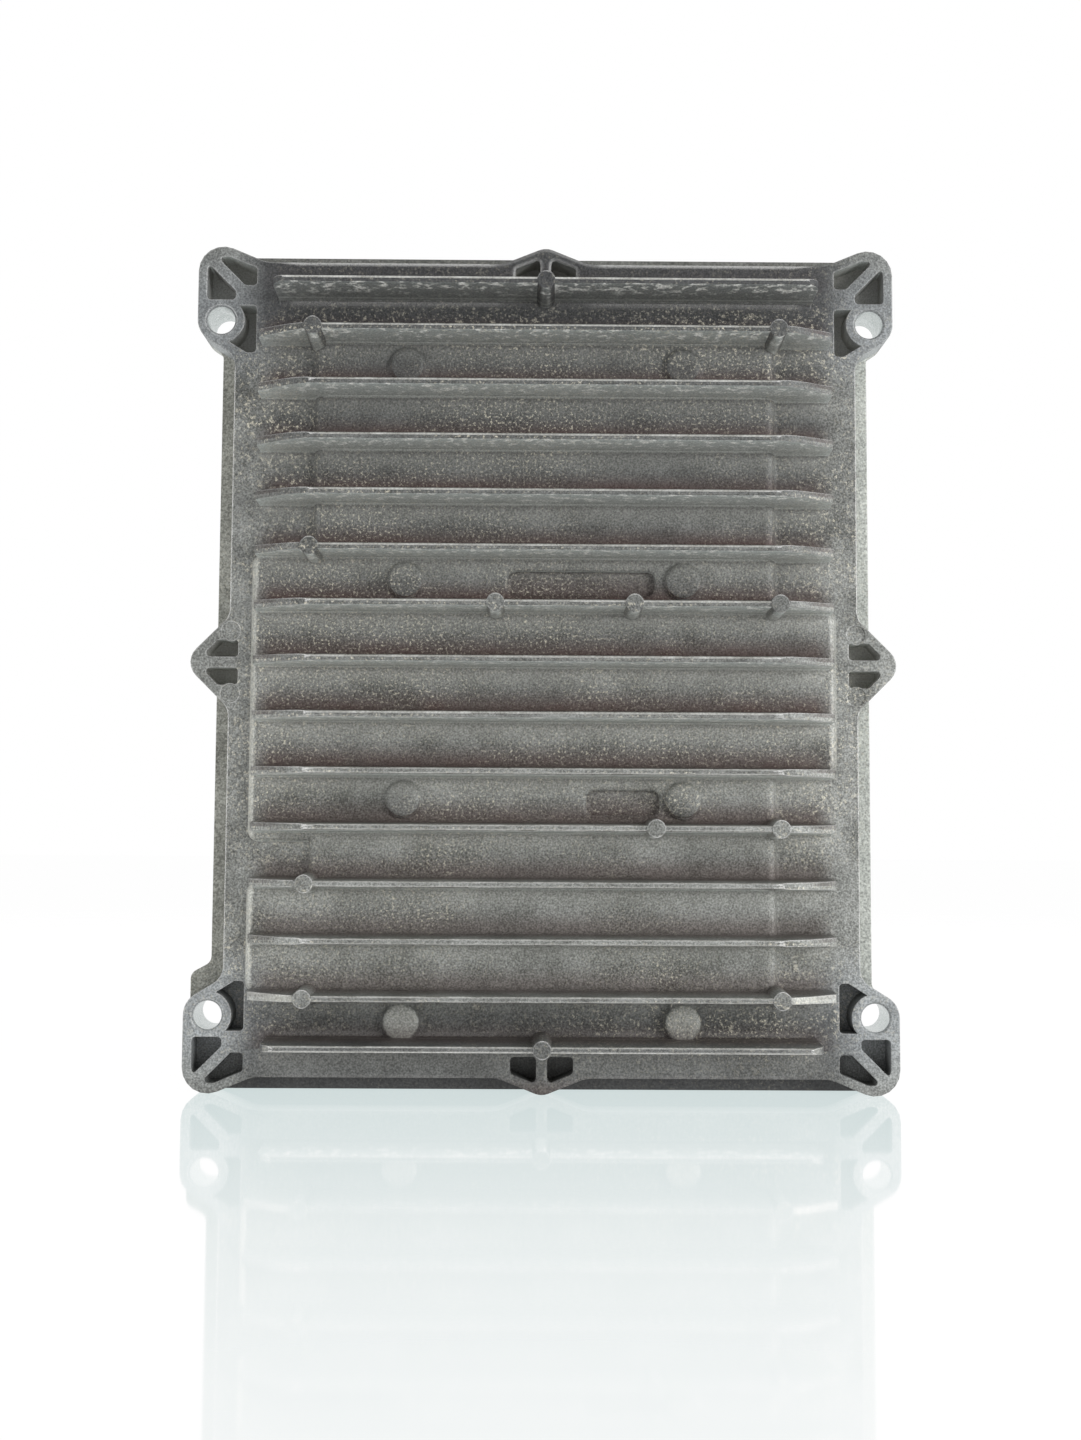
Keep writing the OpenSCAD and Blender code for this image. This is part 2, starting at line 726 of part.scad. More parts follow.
// Space inside the housing, deeper under the raised field
module housing_space() {
    slab(rounded(box_path(cavity, cavity_r)), joint_z - cut, rim_ceiling_z);
    for (area = fields)
        slab(rounded(area_path([max(area[0] + wall, -cavity.x), min(area[1] - wall, cavity.x),
                                area[2] + wall, area[3] - wall], field_r)),
             joint_z, field_ceiling_z);
}

// Pillars for the board and pedestals that take up the heat of the power parts
module housing_inside() {
    at(pillars)
        rod(pillar_d, board_front_z, overlap);
    for (area = hollows)
        slab(rounded(area_path([area[0] - pedestal_margin, area[1] + pedestal_margin,
                                area[2] - pedestal_margin, area[3] + pedestal_margin], hollow_r)),
             pedestal_z, overlap);
}

module finned_housing() {
    color(cast_grey) standing()
    difference() {
        union() {
            difference() {
                union() {
                    slab(rounded(housing_path), joint_z, 0);
                    for (area = fields)
                        field_block(area);
                    difference() {
                        union() {
                            fins();
                            field_fillets();
                        }
                        slab(rounded(box_path(half + [cut, cut], 0)), joint_z, -overlap);
                    }
                    fin_pads();
                    bumps();
                }
                housing_space();
                ear_pockets();
                for (area = hollows)
                    slab(rounded(area_path(area, hollow_r)), field_rise - hollow_depth, field_rise + cut);
            }
            housing_inside();
        }
        at(mount_places) {
            rod(mount_hole_d, joint_z - cut, cut);
            translate([0, 0, -mount_chamfer])
                cylinder(d1 = mount_hole_d, d2 = mount_hole_d + 4 * mount_chamfer, h = 2 * mount_chamfer);
        }
        at(ejector_places)
            rod(ejector_d, -ejector_depth, cut);
        at(cover_screw_places)
            rod(cover_screw_d + 2 * slip, joint_z - cut, cover_bore_z);
        at(pillars)
            rod(board_screw_d + 2 * slip, joint_z - cut, pillar_bore_z);
    }
}

// Flat ring with a rounded outline
module ring(h, r, width, low, high) {
    difference() {
        slab(rounded(box_path(h + [width / 2, width / 2], r + width / 2)), low, high);
        slab(rounded(box_path(h - [width / 2, width / 2], r - width / 2)), low - cut, high + cut);
    }
}

// Seat of a socket on the cover, with the bosses that take its screws
module socket_seat(columns) {
    seat = flange_half(columns) + [land_rise, land_rise];
    slab(rounded(box_path(seat, flange_r)), land_z, pan_z + overlap);
    at(socket_screw_places(columns))
        rod(screw_boss_d, pan_z + overlap, pan_inner_z + screw_boss_h);
}

// Opening of a socket seat and the bores for its screws
module socket_opening(columns) {
    slab(rounded(box_path(base_half(columns) + [base_clear, base_clear], base_r)), land_z - cut, joint_z);
    at(socket_screw_places(columns))
        rod(socket_screw_d + 2 * slip, land_z - cut, pan_inner_z + screw_boss_h - screw_boss_cap);
}

module rear_cover() {
    color(cover_grey) standing()
    difference() {
        union() {
            difference() {
                union() {
                    slab(rounded(cover_path), flange_z, joint_z);
                    slab(rounded(box_path(pan_wall_half, pan_r)), pan_z, joint_z - overlap);
                }
                slab(rounded(box_path(pan_half, cavity_r)), pan_inner_z, joint_z + cut);
            }
            translate(engine_place)
                socket_seat(engine_columns);
            translate(vehicle_place)
                socket_seat(vehicle_columns);
            translate(vent_place)
                rod(2 * vent_land_r, land_z, pan_z + overlap);
        }
        translate(engine_place)
            socket_opening(engine_columns);
        translate(vehicle_place)
            socket_opening(vehicle_columns);
        translate(vent_place)
            rod(vent_stem_d + 2 * slip, land_z - cut, joint_z);
        ring(seal_half, seal_r, seal_w + 2 * slip, joint_z - seal_t, joint_z + cut);
        at(mount_places)
            rod(mount_hole_d, flange_z - cut, joint_z + cut);
        at(cover_screw_places)
            rod(cover_screw_d + 4 * slip, flange_z - cut, joint_z + cut);
    }
}

module cover_seal() {
    color(rubber_black) standing()
        ring(seal_half, seal_r, seal_w, joint_z - seal_t, joint_z);
}

// Pan-head screw with a cross-shaped drive, its head below the given height and its shank above
module screw(d, length, seat_z) {
    head_d = head_ratio * d;
    head_h = head_h_ratio * d;
    edge = head_edge_ratio * d;
    difference() {
        union() {
            translate([0, 0, seat_z - head_h])
                cylinder(d1 = head_d - 2 * edge, d2 = head_d, h = edge);
            rod(head_d, seat_z - head_h + edge, seat_z);
            rod(d, seat_z - overlap, seat_z + length);
        }
        for (a = [0, 90])
            rotate(a)
                block([drive_span * head_d, drive_w * d, drive_depth * head_h + cut],
                      seat_z - head_h - cut);
    }
}

module cover_screws() {
    color(steel) standing()
        at(cover_screw_places)
            screw(cover_screw_d, cover_screw_length, flange_z);
}

module circuit_board() {
    color(board_green) standing()
    difference() {
        slab(rounded(box_path(board_half, cavity_r - board_gap)), board_rear_z, board_front_z);
        at(pillars)
            rod(board_screw_d + 4 * slip, board_rear_z - cut, board_front_z + cut);
        translate(engine_place)
            at(pin_places(engine_columns))
                rod(pin_hole_d, board_rear_z - cut, board_front_z + cut, $fn = 16);
        translate(vehicle_place)
            at(pin_places(vehicle_columns))
                rod(pin_hole_d, board_rear_z - cut, board_front_z + cut, $fn = 16);
    }
}

module board_screws() {
    color(steel) standing()
        at(pillars)
            screw(board_screw_d, board_screw_length, board_rear_z);
}

// Latching ramp on the long side of a socket
module ramp(columns) {
    translate([0, shell_half(columns).y - overlap, mouth_z + ramp_inset])
        rotate([90, 0, 90])
            linear_extrude(height = ramp_w, center = true)
                polygon([[0, 0], [overlap, 0], [ramp_h + overlap, ramp_length], [0, ramp_length]]);
}

// Open socket on a flange, with a solid foot that stands on the board
module socket(columns) {
    mouth = mouth_half(columns);
    difference() {
        union() {
            slab(rounded(box_path(base_half(columns), base_r)), land_z - overlap, board_rear_z);
            slab(rounded(box_path(flange_half(columns), flange_r)), socket_flange_z, land_z);
            difference() {
                slab(rounded(box_path(shell_half(columns), socket_r)), mouth_z, socket_flange_z + overlap);
                slab(rounded(box_path(mouth, mouth_r)), mouth_z - cut, socket_floor_z);
            }
            for (k = key_places)
                translate([2 * k * mouth.x, mouth.y - key_h / 2 + overlap / 2, 0])
                    block([key_w, key_h + overlap, socket_floor_z - mouth_z - ramp_inset],
                          mouth_z + ramp_inset);
            for (side = [0, 1])
                mirror([0, side, 0])
                    ramp(columns);
        }
        at(pin_places(columns))
            block([pin_w + 2 * slip, pin_w + 2 * slip, board_rear_z - socket_floor_z + 2 * cut],
                  socket_floor_z - cut);
        at(socket_screw_places(columns))
            rod(socket_screw_d + 4 * slip, socket_flange_z - cut, land_z + cut);
        ring(shell_half(columns) + [socket_seal_reach, socket_seal_reach], flange_r,
             socket_seal_w + 2 * slip, land_z - socket_seal_t, land_z + cut);
    }
}

module socket_seal(columns) {
    ring(shell_half(columns) + [socket_seal_reach, socket_seal_reach], flange_r,
         socket_seal_w, land_z - socket_seal_t, land_z);
}

module pins(columns) {
    at(pin_places(columns))
        block([pin_w, pin_w, board_front_z + pin_through - pin_tip_z], pin_tip_z);
}

module socket_screws(columns) {
    at(socket_screw_places(columns))
        screw(socket_screw_d, socket_screw_length, socket_flange_z);
}

module engine_socket() {
    color(plastic_black) standing()
        translate(engine_place)
            socket(engine_columns);
}

module engine_socket_seal() {
    color(rubber_black) standing()
        translate(engine_place)
            socket_seal(engine_columns);
}

module engine_pins() {
    color(pin_brass) standing()
        translate(engine_place)
            pins(engine_columns);
}

module engine_socket_screws() {
    color(steel) standing()
        translate(engine_place)
            socket_screws(engine_columns);
}

module vehicle_socket() {
    color(plastic_black) standing()
        translate(vehicle_place)
            socket(vehicle_columns);
}

module vehicle_socket_seal() {
    color(rubber_black) standing()
        translate(vehicle_place)
            socket_seal(vehicle_columns);
}

module vehicle_pins() {
    color(pin_brass) standing()
        translate(vehicle_place)
            pins(vehicle_columns);
}

module vehicle_socket_screws() {
    color(steel) standing()
        translate(vehicle_place)
            socket_screws(vehicle_columns);
}

// Cap on a hollow stem, with slots under the cap's rim through which the unit breathes
module vent_plug() {
    cap_z = land_z - vent_seal_t;
    color(plastic_black) standing()
        translate(vent_place)
            difference() {
                union() {
                    rod(vent_d, cap_z - vent_cap_h, cap_z);
                    rod(vent_stem_d, cap_z - overlap, land_z + vent_stem_length);
                }
                rod(vent_bore_d, cap_z - vent_cap_h / 2, land_z + vent_stem_length + cut);
                for (i = [0 : vent_slots / 2 - 1])
                    rotate(180 * i / (vent_slots / 2))
                        block([vent_d + cut, vent_slot_w, vent_slot_h], cap_z - vent_cap_h / 2);
            }
}

module vent_seal() {
    color(rubber_black) standing()
        translate(vent_place)
            difference() {
                rod(vent_stem_d + 2 * vent_seal_w + 2 * slip, land_z - vent_seal_t, land_z);
                rod(vent_stem_d + 2 * slip, land_z - vent_seal_t - cut, land_z + cut);
            }
}

// Membrane across the inner end of the vent's stem
module vent_membrane() {
    color(membrane_white) standing()
        translate(vent_place)
            rod(vent_membrane_ratio * vent_stem_d, land_z + vent_stem_length,
                land_z + vent_stem_length + vent_membrane_t);
}

// Flat package with a row of leads along each side
module processor() {
    color(chip_black) standing()
        translate(processor_place)
            union() {
                block([processor_w, processor_w, processor_h], board_front_z);
                for (a = [0 : 90 : 270], i = [0 : lead_count - 1])
                    rotate(a)
                        translate([(i - (lead_count - 1) / 2) * lead_pitch, lead_row, 0])
                            block([lead_w, lead_reach + overlap, lead_t], board_front_z);
            }
}

module memory_chip() {
    color(chip_black) standing()
        translate(memory_place)
            block(memory_size, board_front_z);
}

module driver_chips() {
    color(chip_black) standing()
        at(driver_places)
            block(driver_size, board_front_z);
}

module power_transistors() {
    color(chip_black) standing()
        at(transistor_places)
            block(transistor_size, board_front_z);
}

module thermal_pads() {
    color(pad_grey) standing()
        at(transistor_places)
            block([transistor_size.x, transistor_size.y, thermal_t], board_front_z + transistor_h);
}

module capacitor_cans() {
    color(can_silver) standing()
        at(can_places) {
            block([can_d, can_d, can_base_h], board_rear_z - can_base_h);
            rod(can_d, board_rear_z - can_h, board_rear_z - can_base_h + overlap);
        }
}

module choke_coils() {
    color(chip_black) standing()
        at(choke_places)
            slab(rounded(box_path([choke_size.x, choke_size.y] / 2, choke_r)),
                 board_rear_z - choke_size.z, board_rear_z);
}

module quartz_crystal() {
    color(can_silver) standing()
        translate(crystal_place)
            slab(rounded(box_path([crystal_size.x, crystal_size.y] / 2, crystal_r)),
                 board_rear_z - crystal_size.z, board_rear_z);
}

// Sensor for the air pressure around the unit, with its open port
module pressure_sensor() {
    color(plastic_black) standing()
        translate(sensor_place)
            difference() {
                block(sensor_size, board_rear_z - sensor_size.z);
                rod(sensor_port_d, board_rear_z - sensor_size.z - cut,
                    board_rear_z - sensor_size.z + sensor_port_h);
            }
}

module chip_capacitors() {
    color(ceramic_tan) standing()
        at(ceramic_places)
            block(ceramic_size, board_front_z);
}

module chip_resistors() {
    color(chip_black) standing()
        at(resistor_places)
            block(resistor_size, board_front_z);
}

module protection_diodes() {
    color(chip_black) standing()
        at(diode_places)
            block(diode_size, board_front_z);
}

finned_housing();
rear_cover();
cover_seal();
cover_screws();
circuit_board();
board_screws();
engine_socket();
engine_socket_seal();
engine_pins();
engine_socket_screws();
vehicle_socket();
vehicle_socket_seal();
vehicle_pins();
vehicle_socket_screws();
vent_plug();
vent_seal();
vent_membrane();
processor();
memory_chip();
driver_chips();
power_transistors();
thermal_pads();
capacitor_cans();
choke_coils();
quartz_crystal();
pressure_sensor();
chip_capacitors();
chip_resistors();
protection_diodes();
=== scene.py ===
"""Weathered engine control unit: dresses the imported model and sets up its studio.

Lengths are in metres; MM turns millimetres into metres. The unit stands upright on Z = 0 with its
fins towards -Y.
"""

import logging
import math
from dataclasses import dataclass, field
from enum import Enum
from typing import Any, Callable

import bpy
from mathutils import Matrix, Vector


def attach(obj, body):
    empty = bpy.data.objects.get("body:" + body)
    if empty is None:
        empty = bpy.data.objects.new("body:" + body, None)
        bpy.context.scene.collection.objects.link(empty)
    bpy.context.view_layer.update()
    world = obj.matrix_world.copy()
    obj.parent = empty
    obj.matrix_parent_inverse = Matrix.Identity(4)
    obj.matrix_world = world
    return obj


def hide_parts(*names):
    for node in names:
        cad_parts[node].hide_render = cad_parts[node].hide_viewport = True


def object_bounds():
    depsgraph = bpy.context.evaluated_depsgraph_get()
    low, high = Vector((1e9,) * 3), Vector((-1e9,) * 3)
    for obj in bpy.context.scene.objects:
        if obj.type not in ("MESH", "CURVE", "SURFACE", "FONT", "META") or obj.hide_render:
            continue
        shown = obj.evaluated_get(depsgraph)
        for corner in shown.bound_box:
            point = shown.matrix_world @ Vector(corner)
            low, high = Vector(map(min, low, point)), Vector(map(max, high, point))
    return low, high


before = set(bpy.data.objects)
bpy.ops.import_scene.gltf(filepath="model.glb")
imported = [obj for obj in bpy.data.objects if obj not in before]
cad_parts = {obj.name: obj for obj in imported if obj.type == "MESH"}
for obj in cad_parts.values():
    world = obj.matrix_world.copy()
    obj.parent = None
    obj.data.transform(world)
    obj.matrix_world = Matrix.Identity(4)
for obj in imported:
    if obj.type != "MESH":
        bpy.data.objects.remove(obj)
CAD_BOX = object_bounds()

LOG = logging.getLogger("control_unit")
MM = 0.001
BODY = "root"
MERGE_WITHIN = 0.001 * MM
SMOOTH_BELOW = math.radians(40)
# Nearly all values of a noise lie in this span.
NOISE_SPAN = (0.3, 0.7)

Tree = bpy.types.NodeTree
Socket = bpy.types.NodeSocket
Colour = tuple[float, float, float, float]


def linear(hex_colour: str) -> Colour:
    """Turns an sRGB hex colour into linear values.

    Args:
        hex_colour: Colour such as "#8f8c86".

    Returns:
        Linear red, green and blue with an alpha of one.
    """
    channels = [int(hex_colour[i:i + 2], 16) / 255 for i in (1, 3, 5)]
    values = [c / 12.92 if c <= 0.04045 else ((c + 0.055) / 1.055) ** 2.4 for c in channels]
    return (values[0], values[1], values[2], 1.0)


def add_node(
    tree: Tree, kind: str, inputs: dict[Any, Any] | None = None, **settings: Any
) -> bpy.types.Node:
    """Adds a node with its settings, values and links.

    Args:
        tree: Node tree that takes the node.
        kind: Blender's name of the node type.
        inputs: Value or linked output for each input, by name or number.
        **settings: Properties of the node.

    Returns:
        The new node.
    """
    node = tree.nodes.new(kind)
    for name, value in settings.items():
        setattr(node, name, value)
    for key, value in (inputs or {}).items():
        if isinstance(value, Socket):
            tree.links.new(value, node.inputs[key])
        else:
            node.inputs[key].default_value = value
    return node


class Join(Enum):
    """How shares become one mask: where all of them hold, or where any does."""

    ALL = "MULTIPLY"
    ANY = "MAXIMUM"


class Curve(Enum):
    """How a ramp runs: straight, or with soft ends."""

    STRAIGHT = "LINEAR"
    EASED = "SMOOTHSTEP"


@dataclass(frozen=True)
class Ramp:
    """A share that goes from least to most while a value goes from start to end."""

    value: Socket
    start: float
    end: float
    least: float = 0.0
    most: float = 1.0
    curve: Curve = Curve.STRAIGHT


def join(tree: Tree, *shares: Socket | Ramp, how: Join = Join.ALL) -> Socket:
    """Joins ramps and masks into one mask.

    Args:
        tree: Node tree of the material.
        *shares: The ramps and masks.
        how: Whether all or any of them have to hold.

    Returns:
        The mask.
    """
    mask = None
    for share in shares:
        if isinstance(share, Ramp):
            share = add_node(
                tree, "ShaderNodeMapRange",
                {
                    "Value": share.value, "From Min": share.start, "From Max": share.end,
                    "To Min": share.least, "To Max": share.most,
                },
                interpolation_type=share.curve.value,
            ).outputs[0]
        if mask is not None:
            share = add_node(tree, "ShaderNodeMath", {0: mask, 1: share}, operation=how.value).outputs[0]
        mask = share
    return mask


@dataclass(frozen=True)
class Finish:
    """Base of the finishes: one named material round a principled surface."""

    name: str

    def material(self) -> bpy.types.Material:
        """Makes the material on first use.

        Returns:
            The material with this finish's name.
        """
        known = bpy.data.materials.get(self.name)
        if known:
            return known
        material = bpy.data.materials.new(self.name)
        material.use_nodes = True
        tree = material.node_tree
        tree.nodes.clear()
        surface = add_node(tree, "ShaderNodeBsdfPrincipled")
        add_node(tree, "ShaderNodeOutputMaterial", {"Surface": surface.outputs["BSDF"]})
        self.paint(tree, surface)
        return material

    def paint(self, tree: Tree, surface: bpy.types.Node) -> None:
        """Fills in the surface; each finish does this its own way."""
        raise NotImplementedError


@dataclass(frozen=True)
class GrainedFinish(Finish):
    """Even finish with a fine grain, slow changes of tone, uneven gloss and softened edges."""

    light: str
    dark: str
    metallic: float
    roughness: float
    grain: float
    relief: float
    patch: float = 18 * MM
    edge: float = 0.2 * MM
    gloss_change: float = 0.12
    ior: float = 1.5

    def paint(self, tree: Tree, surface: bpy.types.Node) -> None:
        """Mixes two tones by slow noise and raises the grain.

        Args:
            tree: Node tree of the material.
            surface: Principled node to fill in.
        """
        place = add_node(tree, "ShaderNodeTexCoord").outputs["Object"]
        patches, grain = (
            add_node(
                tree, "ShaderNodeTexNoise", {"Vector": place, "Scale": 1 / size, "Detail": detail}
            ).outputs["Fac"]
            for size, detail in ((self.patch, 4.0), (self.grain, 2.0))
        )
        tone = join(tree, Ramp(join(tree, patches, grain), 0.12, 0.4))
        colour = add_node(
            tree, "ShaderNodeMix", {0: tone, 6: linear(self.dark), 7: linear(self.light)}, data_type="RGBA"
        ).outputs[2]
        gloss = join(
            tree,
            Ramp(
                patches, *NOISE_SPAN,
                self.roughness - self.gloss_change, self.roughness + self.gloss_change,
            ),
        )
        rounded = add_node(tree, "ShaderNodeBevel", {"Radius": self.edge}, samples=4).outputs[0]
        bump = add_node(
            tree, "ShaderNodeBump",
            {"Height": grain, "Distance": self.relief, "Strength": 1.0, "Normal": rounded},
        ).outputs[0]
        tree.links.new(colour, surface.inputs["Base Color"])
        tree.links.new(gloss, surface.inputs["Roughness"])
        tree.links.new(bump, surface.inputs["Normal"])
        surface.inputs["Metallic"].default_value = self.metallic
        if self.metallic < 0.5:
            surface.inputs["IOR"].default_value = self.ior


@dataclass(frozen=True)
class CastLayout:
    """Places on the castings that wear, dirt, painted light and painted shade follow; the fins point
    towards -Y.
    """

    middle_z: float = (CAD_BOX[0].z + CAD_BOX[1].z) / 2
    pad_rise: float = 0.2 * MM
    crest_y: float = CAD_BOX[0].y + pad_rise
    bump_y: float = -16.0 * MM
    field_y: float = -14.4 * MM
    hollow_y: float = -12.8 * MM
    front_y: float = -11.4 * MM
    fin_pitch: float = 16.55 * MM
    fin_slope: tuple[float, float] = (89 * MM, 82 * MM)
    hole_reach: tuple[float, float] = (100 * MM, 106 * MM)
    hole_radius: float = 4.25 * MM


@dataclass(frozen=True)
class Spot:
    """Where a point of a casting lies and how it faces, as sockets of one material.

    aside is its distance from the plane of symmetry, lift its height over the middle, up the same
    without a sign, quarter aside and up as one vector, and above the height over the fin below.
    """

    place: Socket
    axes: Any
    facing: Any
    aside: Socket
    lift: Socket
    up: Socket
    quarter: Socket
    above: Socket


class Blend(Enum):
    """What a coat does to the skin under it: hide it, or shade it."""

    COVER = "MIX"
    SHADE = "MULTIPLY"


@dataclass(frozen=True)
class Coat:
    """A colour that is laid over the skin where its mask says."""

    mask: Socket | float
    colour: Socket | Colour
    blend: Blend = Blend.COVER


@dataclass(frozen=True)
class WeatheredCast(Finish):
    """Die-cast aluminium after years in an engine bay.

    The cast skin is a dull taupe grey. Pale oxide has flowered in specks on the floors of the valleys,
    brown road dirt lies on top of each fin with painted shade, painted light lies on the upper part of each
    valley and on the sides of the raised field, painted shade darkens the skin towards the top, the ends
    are darker, the undersides carry painted light from below in a cool grey with pale scuffs, the deep
    pockets carry painted shade, and handling has rubbed the outward edges bare, with painted highlights
    along them.
    """

    metal: str = "#919390"
    metal_dark: str = "#565753"
    # Cool grey of the painted light on the undersides and on the cover's right edge.
    painted_light_cool: str = "#ccd3d0"
    # Pale colour of the painted light on valleys, slopes and bumps.
    painted_light_pale: str = "#c0c1ba"
    oxide: str = "#e6e0cc"
    fleck: str = "#f2f3ee"
    # Brown of the dirt on the fins, which carries painted shade too.
    grime_and_shade: str = "#432f2b"
    # Grey of the painted shade, and of the darker ends.
    dark_grey: str = "#38393b"
    # Pale and dark tones of the painted shade in the deep pockets.
    high_pocket_tone: str = "#bdbcb4"
    low_pocket_shade: str = "#3c3c3c"
    # Bright metal of the rubbed edges and of their painted highlights.
    bare: str = "#ececea"
    # Paler metal of the washer seats round the mounting holes.
    paler: str = "#a8aeb4"
    metallic: float = 0.25
    worn_and_highlit_metallic: float = 0.8
    roughness: float = 0.5
    glossier: float = 0.08
    duller: float = 0.14
    specular: float = 0.3
    grain: float = 0.55 * MM
    speck: float = 0.85 * MM
    patch: float = 16 * MM
    stain: float = 42 * MM
    scuff: tuple[float, float, float] = (2.8 * MM, 2.4 * MM, 1 * MM)
    pocket: float = 9 * MM
    relief: float = 0.06 * MM
    edge: float = 0.6 * MM
    blend: float = 2.6 * MM
    layout: CastLayout = CastLayout()
    finned: bool = True

    def paint(self, tree: Tree, surface: bpy.types.Node) -> None:
        """Builds the skin, its weathering with painted light and shade, its rubbed edges with painted
        highlights and its rough relief.

        Args:
            tree: Node tree of the material.
            surface: Principled node to fill in.
        """
        spot = self.locate(tree)
        grain, specks, patches, stains = (
            add_node(
                tree, "ShaderNodeTexNoise",
                {"Vector": spot.place, "Scale": 1 / size, "Detail": 4.0, "Roughness": rough},
            ).outputs["Fac"]
            for size, rough in ((self.grain, 0.5), (self.speck, 0.7), (self.patch, 0.62), (self.stain, 0.5))
        )
        floor = self.inside_field(tree, spot)
        softness = join(tree, Ramp(floor, 0.0, 1.0, self.edge, self.blend))
        rounded = add_node(tree, "ShaderNodeBevel", {"Radius": softness}, samples=4).outputs[0]
        worn_and_highlit = self.rubbed_and_highlit_edges(tree, spot, grain, rounded)

        coats = self.cast_skin(tree, spot, grain, patches)
        # The finned housing gets painted light, and dirt with painted shade; the cover gets painted light
        # and shade along its edges.
        if self.finned:
            coats += self.paint_light_and_washer_seats(tree, spot, patches)
            coats += self.lay_grime_and_shade(tree, spot, patches)
            coats += self.scuff_undersides(tree, spot)
        else:
            coats += self.paint_light_on_edges(tree, spot)
        coats += self.flower_oxide(tree, spot, grain, specks, stains)
        # Painted shade in the deep pockets.
        coats += self.paint_pocket_shade(tree, spot, floor)
        # Bare metal and painted highlights on the outward edges.
        coats.append(Coat(worn_and_highlit, linear(self.bare)))
        skin = linear(self.metal_dark)
        for coat in coats:
            skin = add_node(
                tree, "ShaderNodeMix", {0: coat.mask, 6: skin, 7: coat.colour},
                data_type="RGBA", blend_type=coat.blend.value,
            ).outputs[2]

        metallic = join(tree, Ramp(worn_and_highlit, 0.0, 1.0, self.metallic, self.worn_and_highlit_metallic))
        gloss = join(
            tree, Ramp(specks, *NOISE_SPAN, self.roughness - self.glossier, self.roughness + self.duller)
        )
        height = add_node(tree, "ShaderNodeMath", {0: specks, 1: grain}, operation="ADD").outputs[0]
        bump = add_node(
            tree, "ShaderNodeBump",
            {"Height": height, "Distance": self.relief, "Strength": 1.0, "Normal": rounded},
        ).outputs[0]
        tree.links.new(skin, surface.inputs["Base Color"])
        tree.links.new(metallic, surface.inputs["Metallic"])
        tree.links.new(gloss, surface.inputs["Roughness"])
        tree.links.new(bump, surface.inputs["Normal"])
        surface.inputs["Specular IOR Level"].default_value = self.specular

    def locate(self, tree: Tree) -> Spot:
        """Works out where a point lies on the casting.

        Args:
            tree: Node tree of the material.

        Returns:
            The sockets of its place and facing.
        """
        coordinates = add_node(tree, "ShaderNodeTexCoord").outputs
        axes, facing = (
            add_node(tree, "ShaderNodeSeparateXYZ", {0: coordinates[name]}).outputs
            for name in ("Object", "Normal")
        )
        lift = add_node(
            tree, "ShaderNodeMath", {0: axes[2], 1: self.layout.middle_z}, operation="SUBTRACT"
        ).outputs[0]
        aside, up = (
            add_node(tree, "ShaderNodeMath", {0: axis}, operation="ABSOLUTE").outputs[0]
            for axis in (axes[0], lift)
        )
        quarter = add_node(tree, "ShaderNodeCombineXYZ", {0: aside, 1: up}).outputs[0]
        above = add_node(
            tree, "ShaderNodeMath", {0: lift, 1: self.layout.fin_pitch, 2: 0.0}, operation="WRAP"
        ).outputs[0]
        return Spot(coordinates["Object"], axes, facing, aside, lift, up, quarter, above)

    def inside_field(self, tree: Tree, spot: Spot) -> Socket:
        """Marks the floor of the raised field, where bumps and hollows are cast with soft edges.

        Args:
            tree: Node tree of the material.
            spot: Place and facing.

        Returns:
            1 on the floor of the field, falling to 0 outside.
        """
        depth = add_node(
            tree, "ShaderNodeMath", {0: spot.axes[1], 1: self.layout.field_y}, operation="SUBTRACT"
        ).outputs[0]
        depth = add_node(tree, "ShaderNodeMath", {0: depth}, operation="ABSOLUTE").outputs[0]
        floor = Ramp(depth, 5 * MM, 1.7 * MM)
        inner = Ramp(spot.aside, 82 * MM, 76 * MM)
        return join(tree, floor, inner)

    def cast_skin(self, tree: Tree, spot: Spot, grain: Socket, patches: Socket) -> list[Coat]:
        """Mixes the grey skin, with painted light from below in a cool grey where it faces down.

        Args:
            tree: Node tree of the material.
            spot: Place and facing.
            grain: Finest noise.
            patches: Slow noise.

        Returns:
            The lighter grey and the painted light on the undersides.
        """
        blend = add_node(
            tree, "ShaderNodeMath", {0: grain, 1: 0.6, 2: patches}, operation="MULTIPLY_ADD"
        ).outputs[0]
        tone = join(tree, Ramp(blend, 0.58, 1.0))
        # Painted light from below, in a cool grey, where the skin faces down.
        under = join(tree, Ramp(spot.facing[2], -0.75, -0.96, most=0.85))
        return [Coat(tone, linear(self.metal)), Coat(under, linear(self.painted_light_cool))]

    def scuff_undersides(self, tree: Tree, spot: Spot) -> list[Coat]:
        """Scatters bright flecks on the undersides of the fins, most of them near the crests.

        Args:
            tree: Node tree of the material.
            spot: Place and facing.

        Returns:
            The flecks.
        """
        drawn = add_node(
            tree, "ShaderNodeVectorMath", {0: spot.place, 1: self.scuff}, operation="DIVIDE"
        ).outputs[0]
        scuffs = add_node(
            tree, "ShaderNodeTexNoise", {"Vector": drawn, "Scale": 1.0, "Detail": 3.0, "Roughness": 0.6}
        ).outputs["Fac"]
        flecks = Ramp(scuffs, 0.52, 0.63, most=0.9)
        under = Ramp(spot.facing[2], -0.75, -0.96)
        outer = Ramp(spot.axes[1], self.layout.bump_y, self.layout.crest_y + 5 * MM, least=0.1)
        return [Coat(join(tree, flecks, under, outer), linear(self.fleck))]

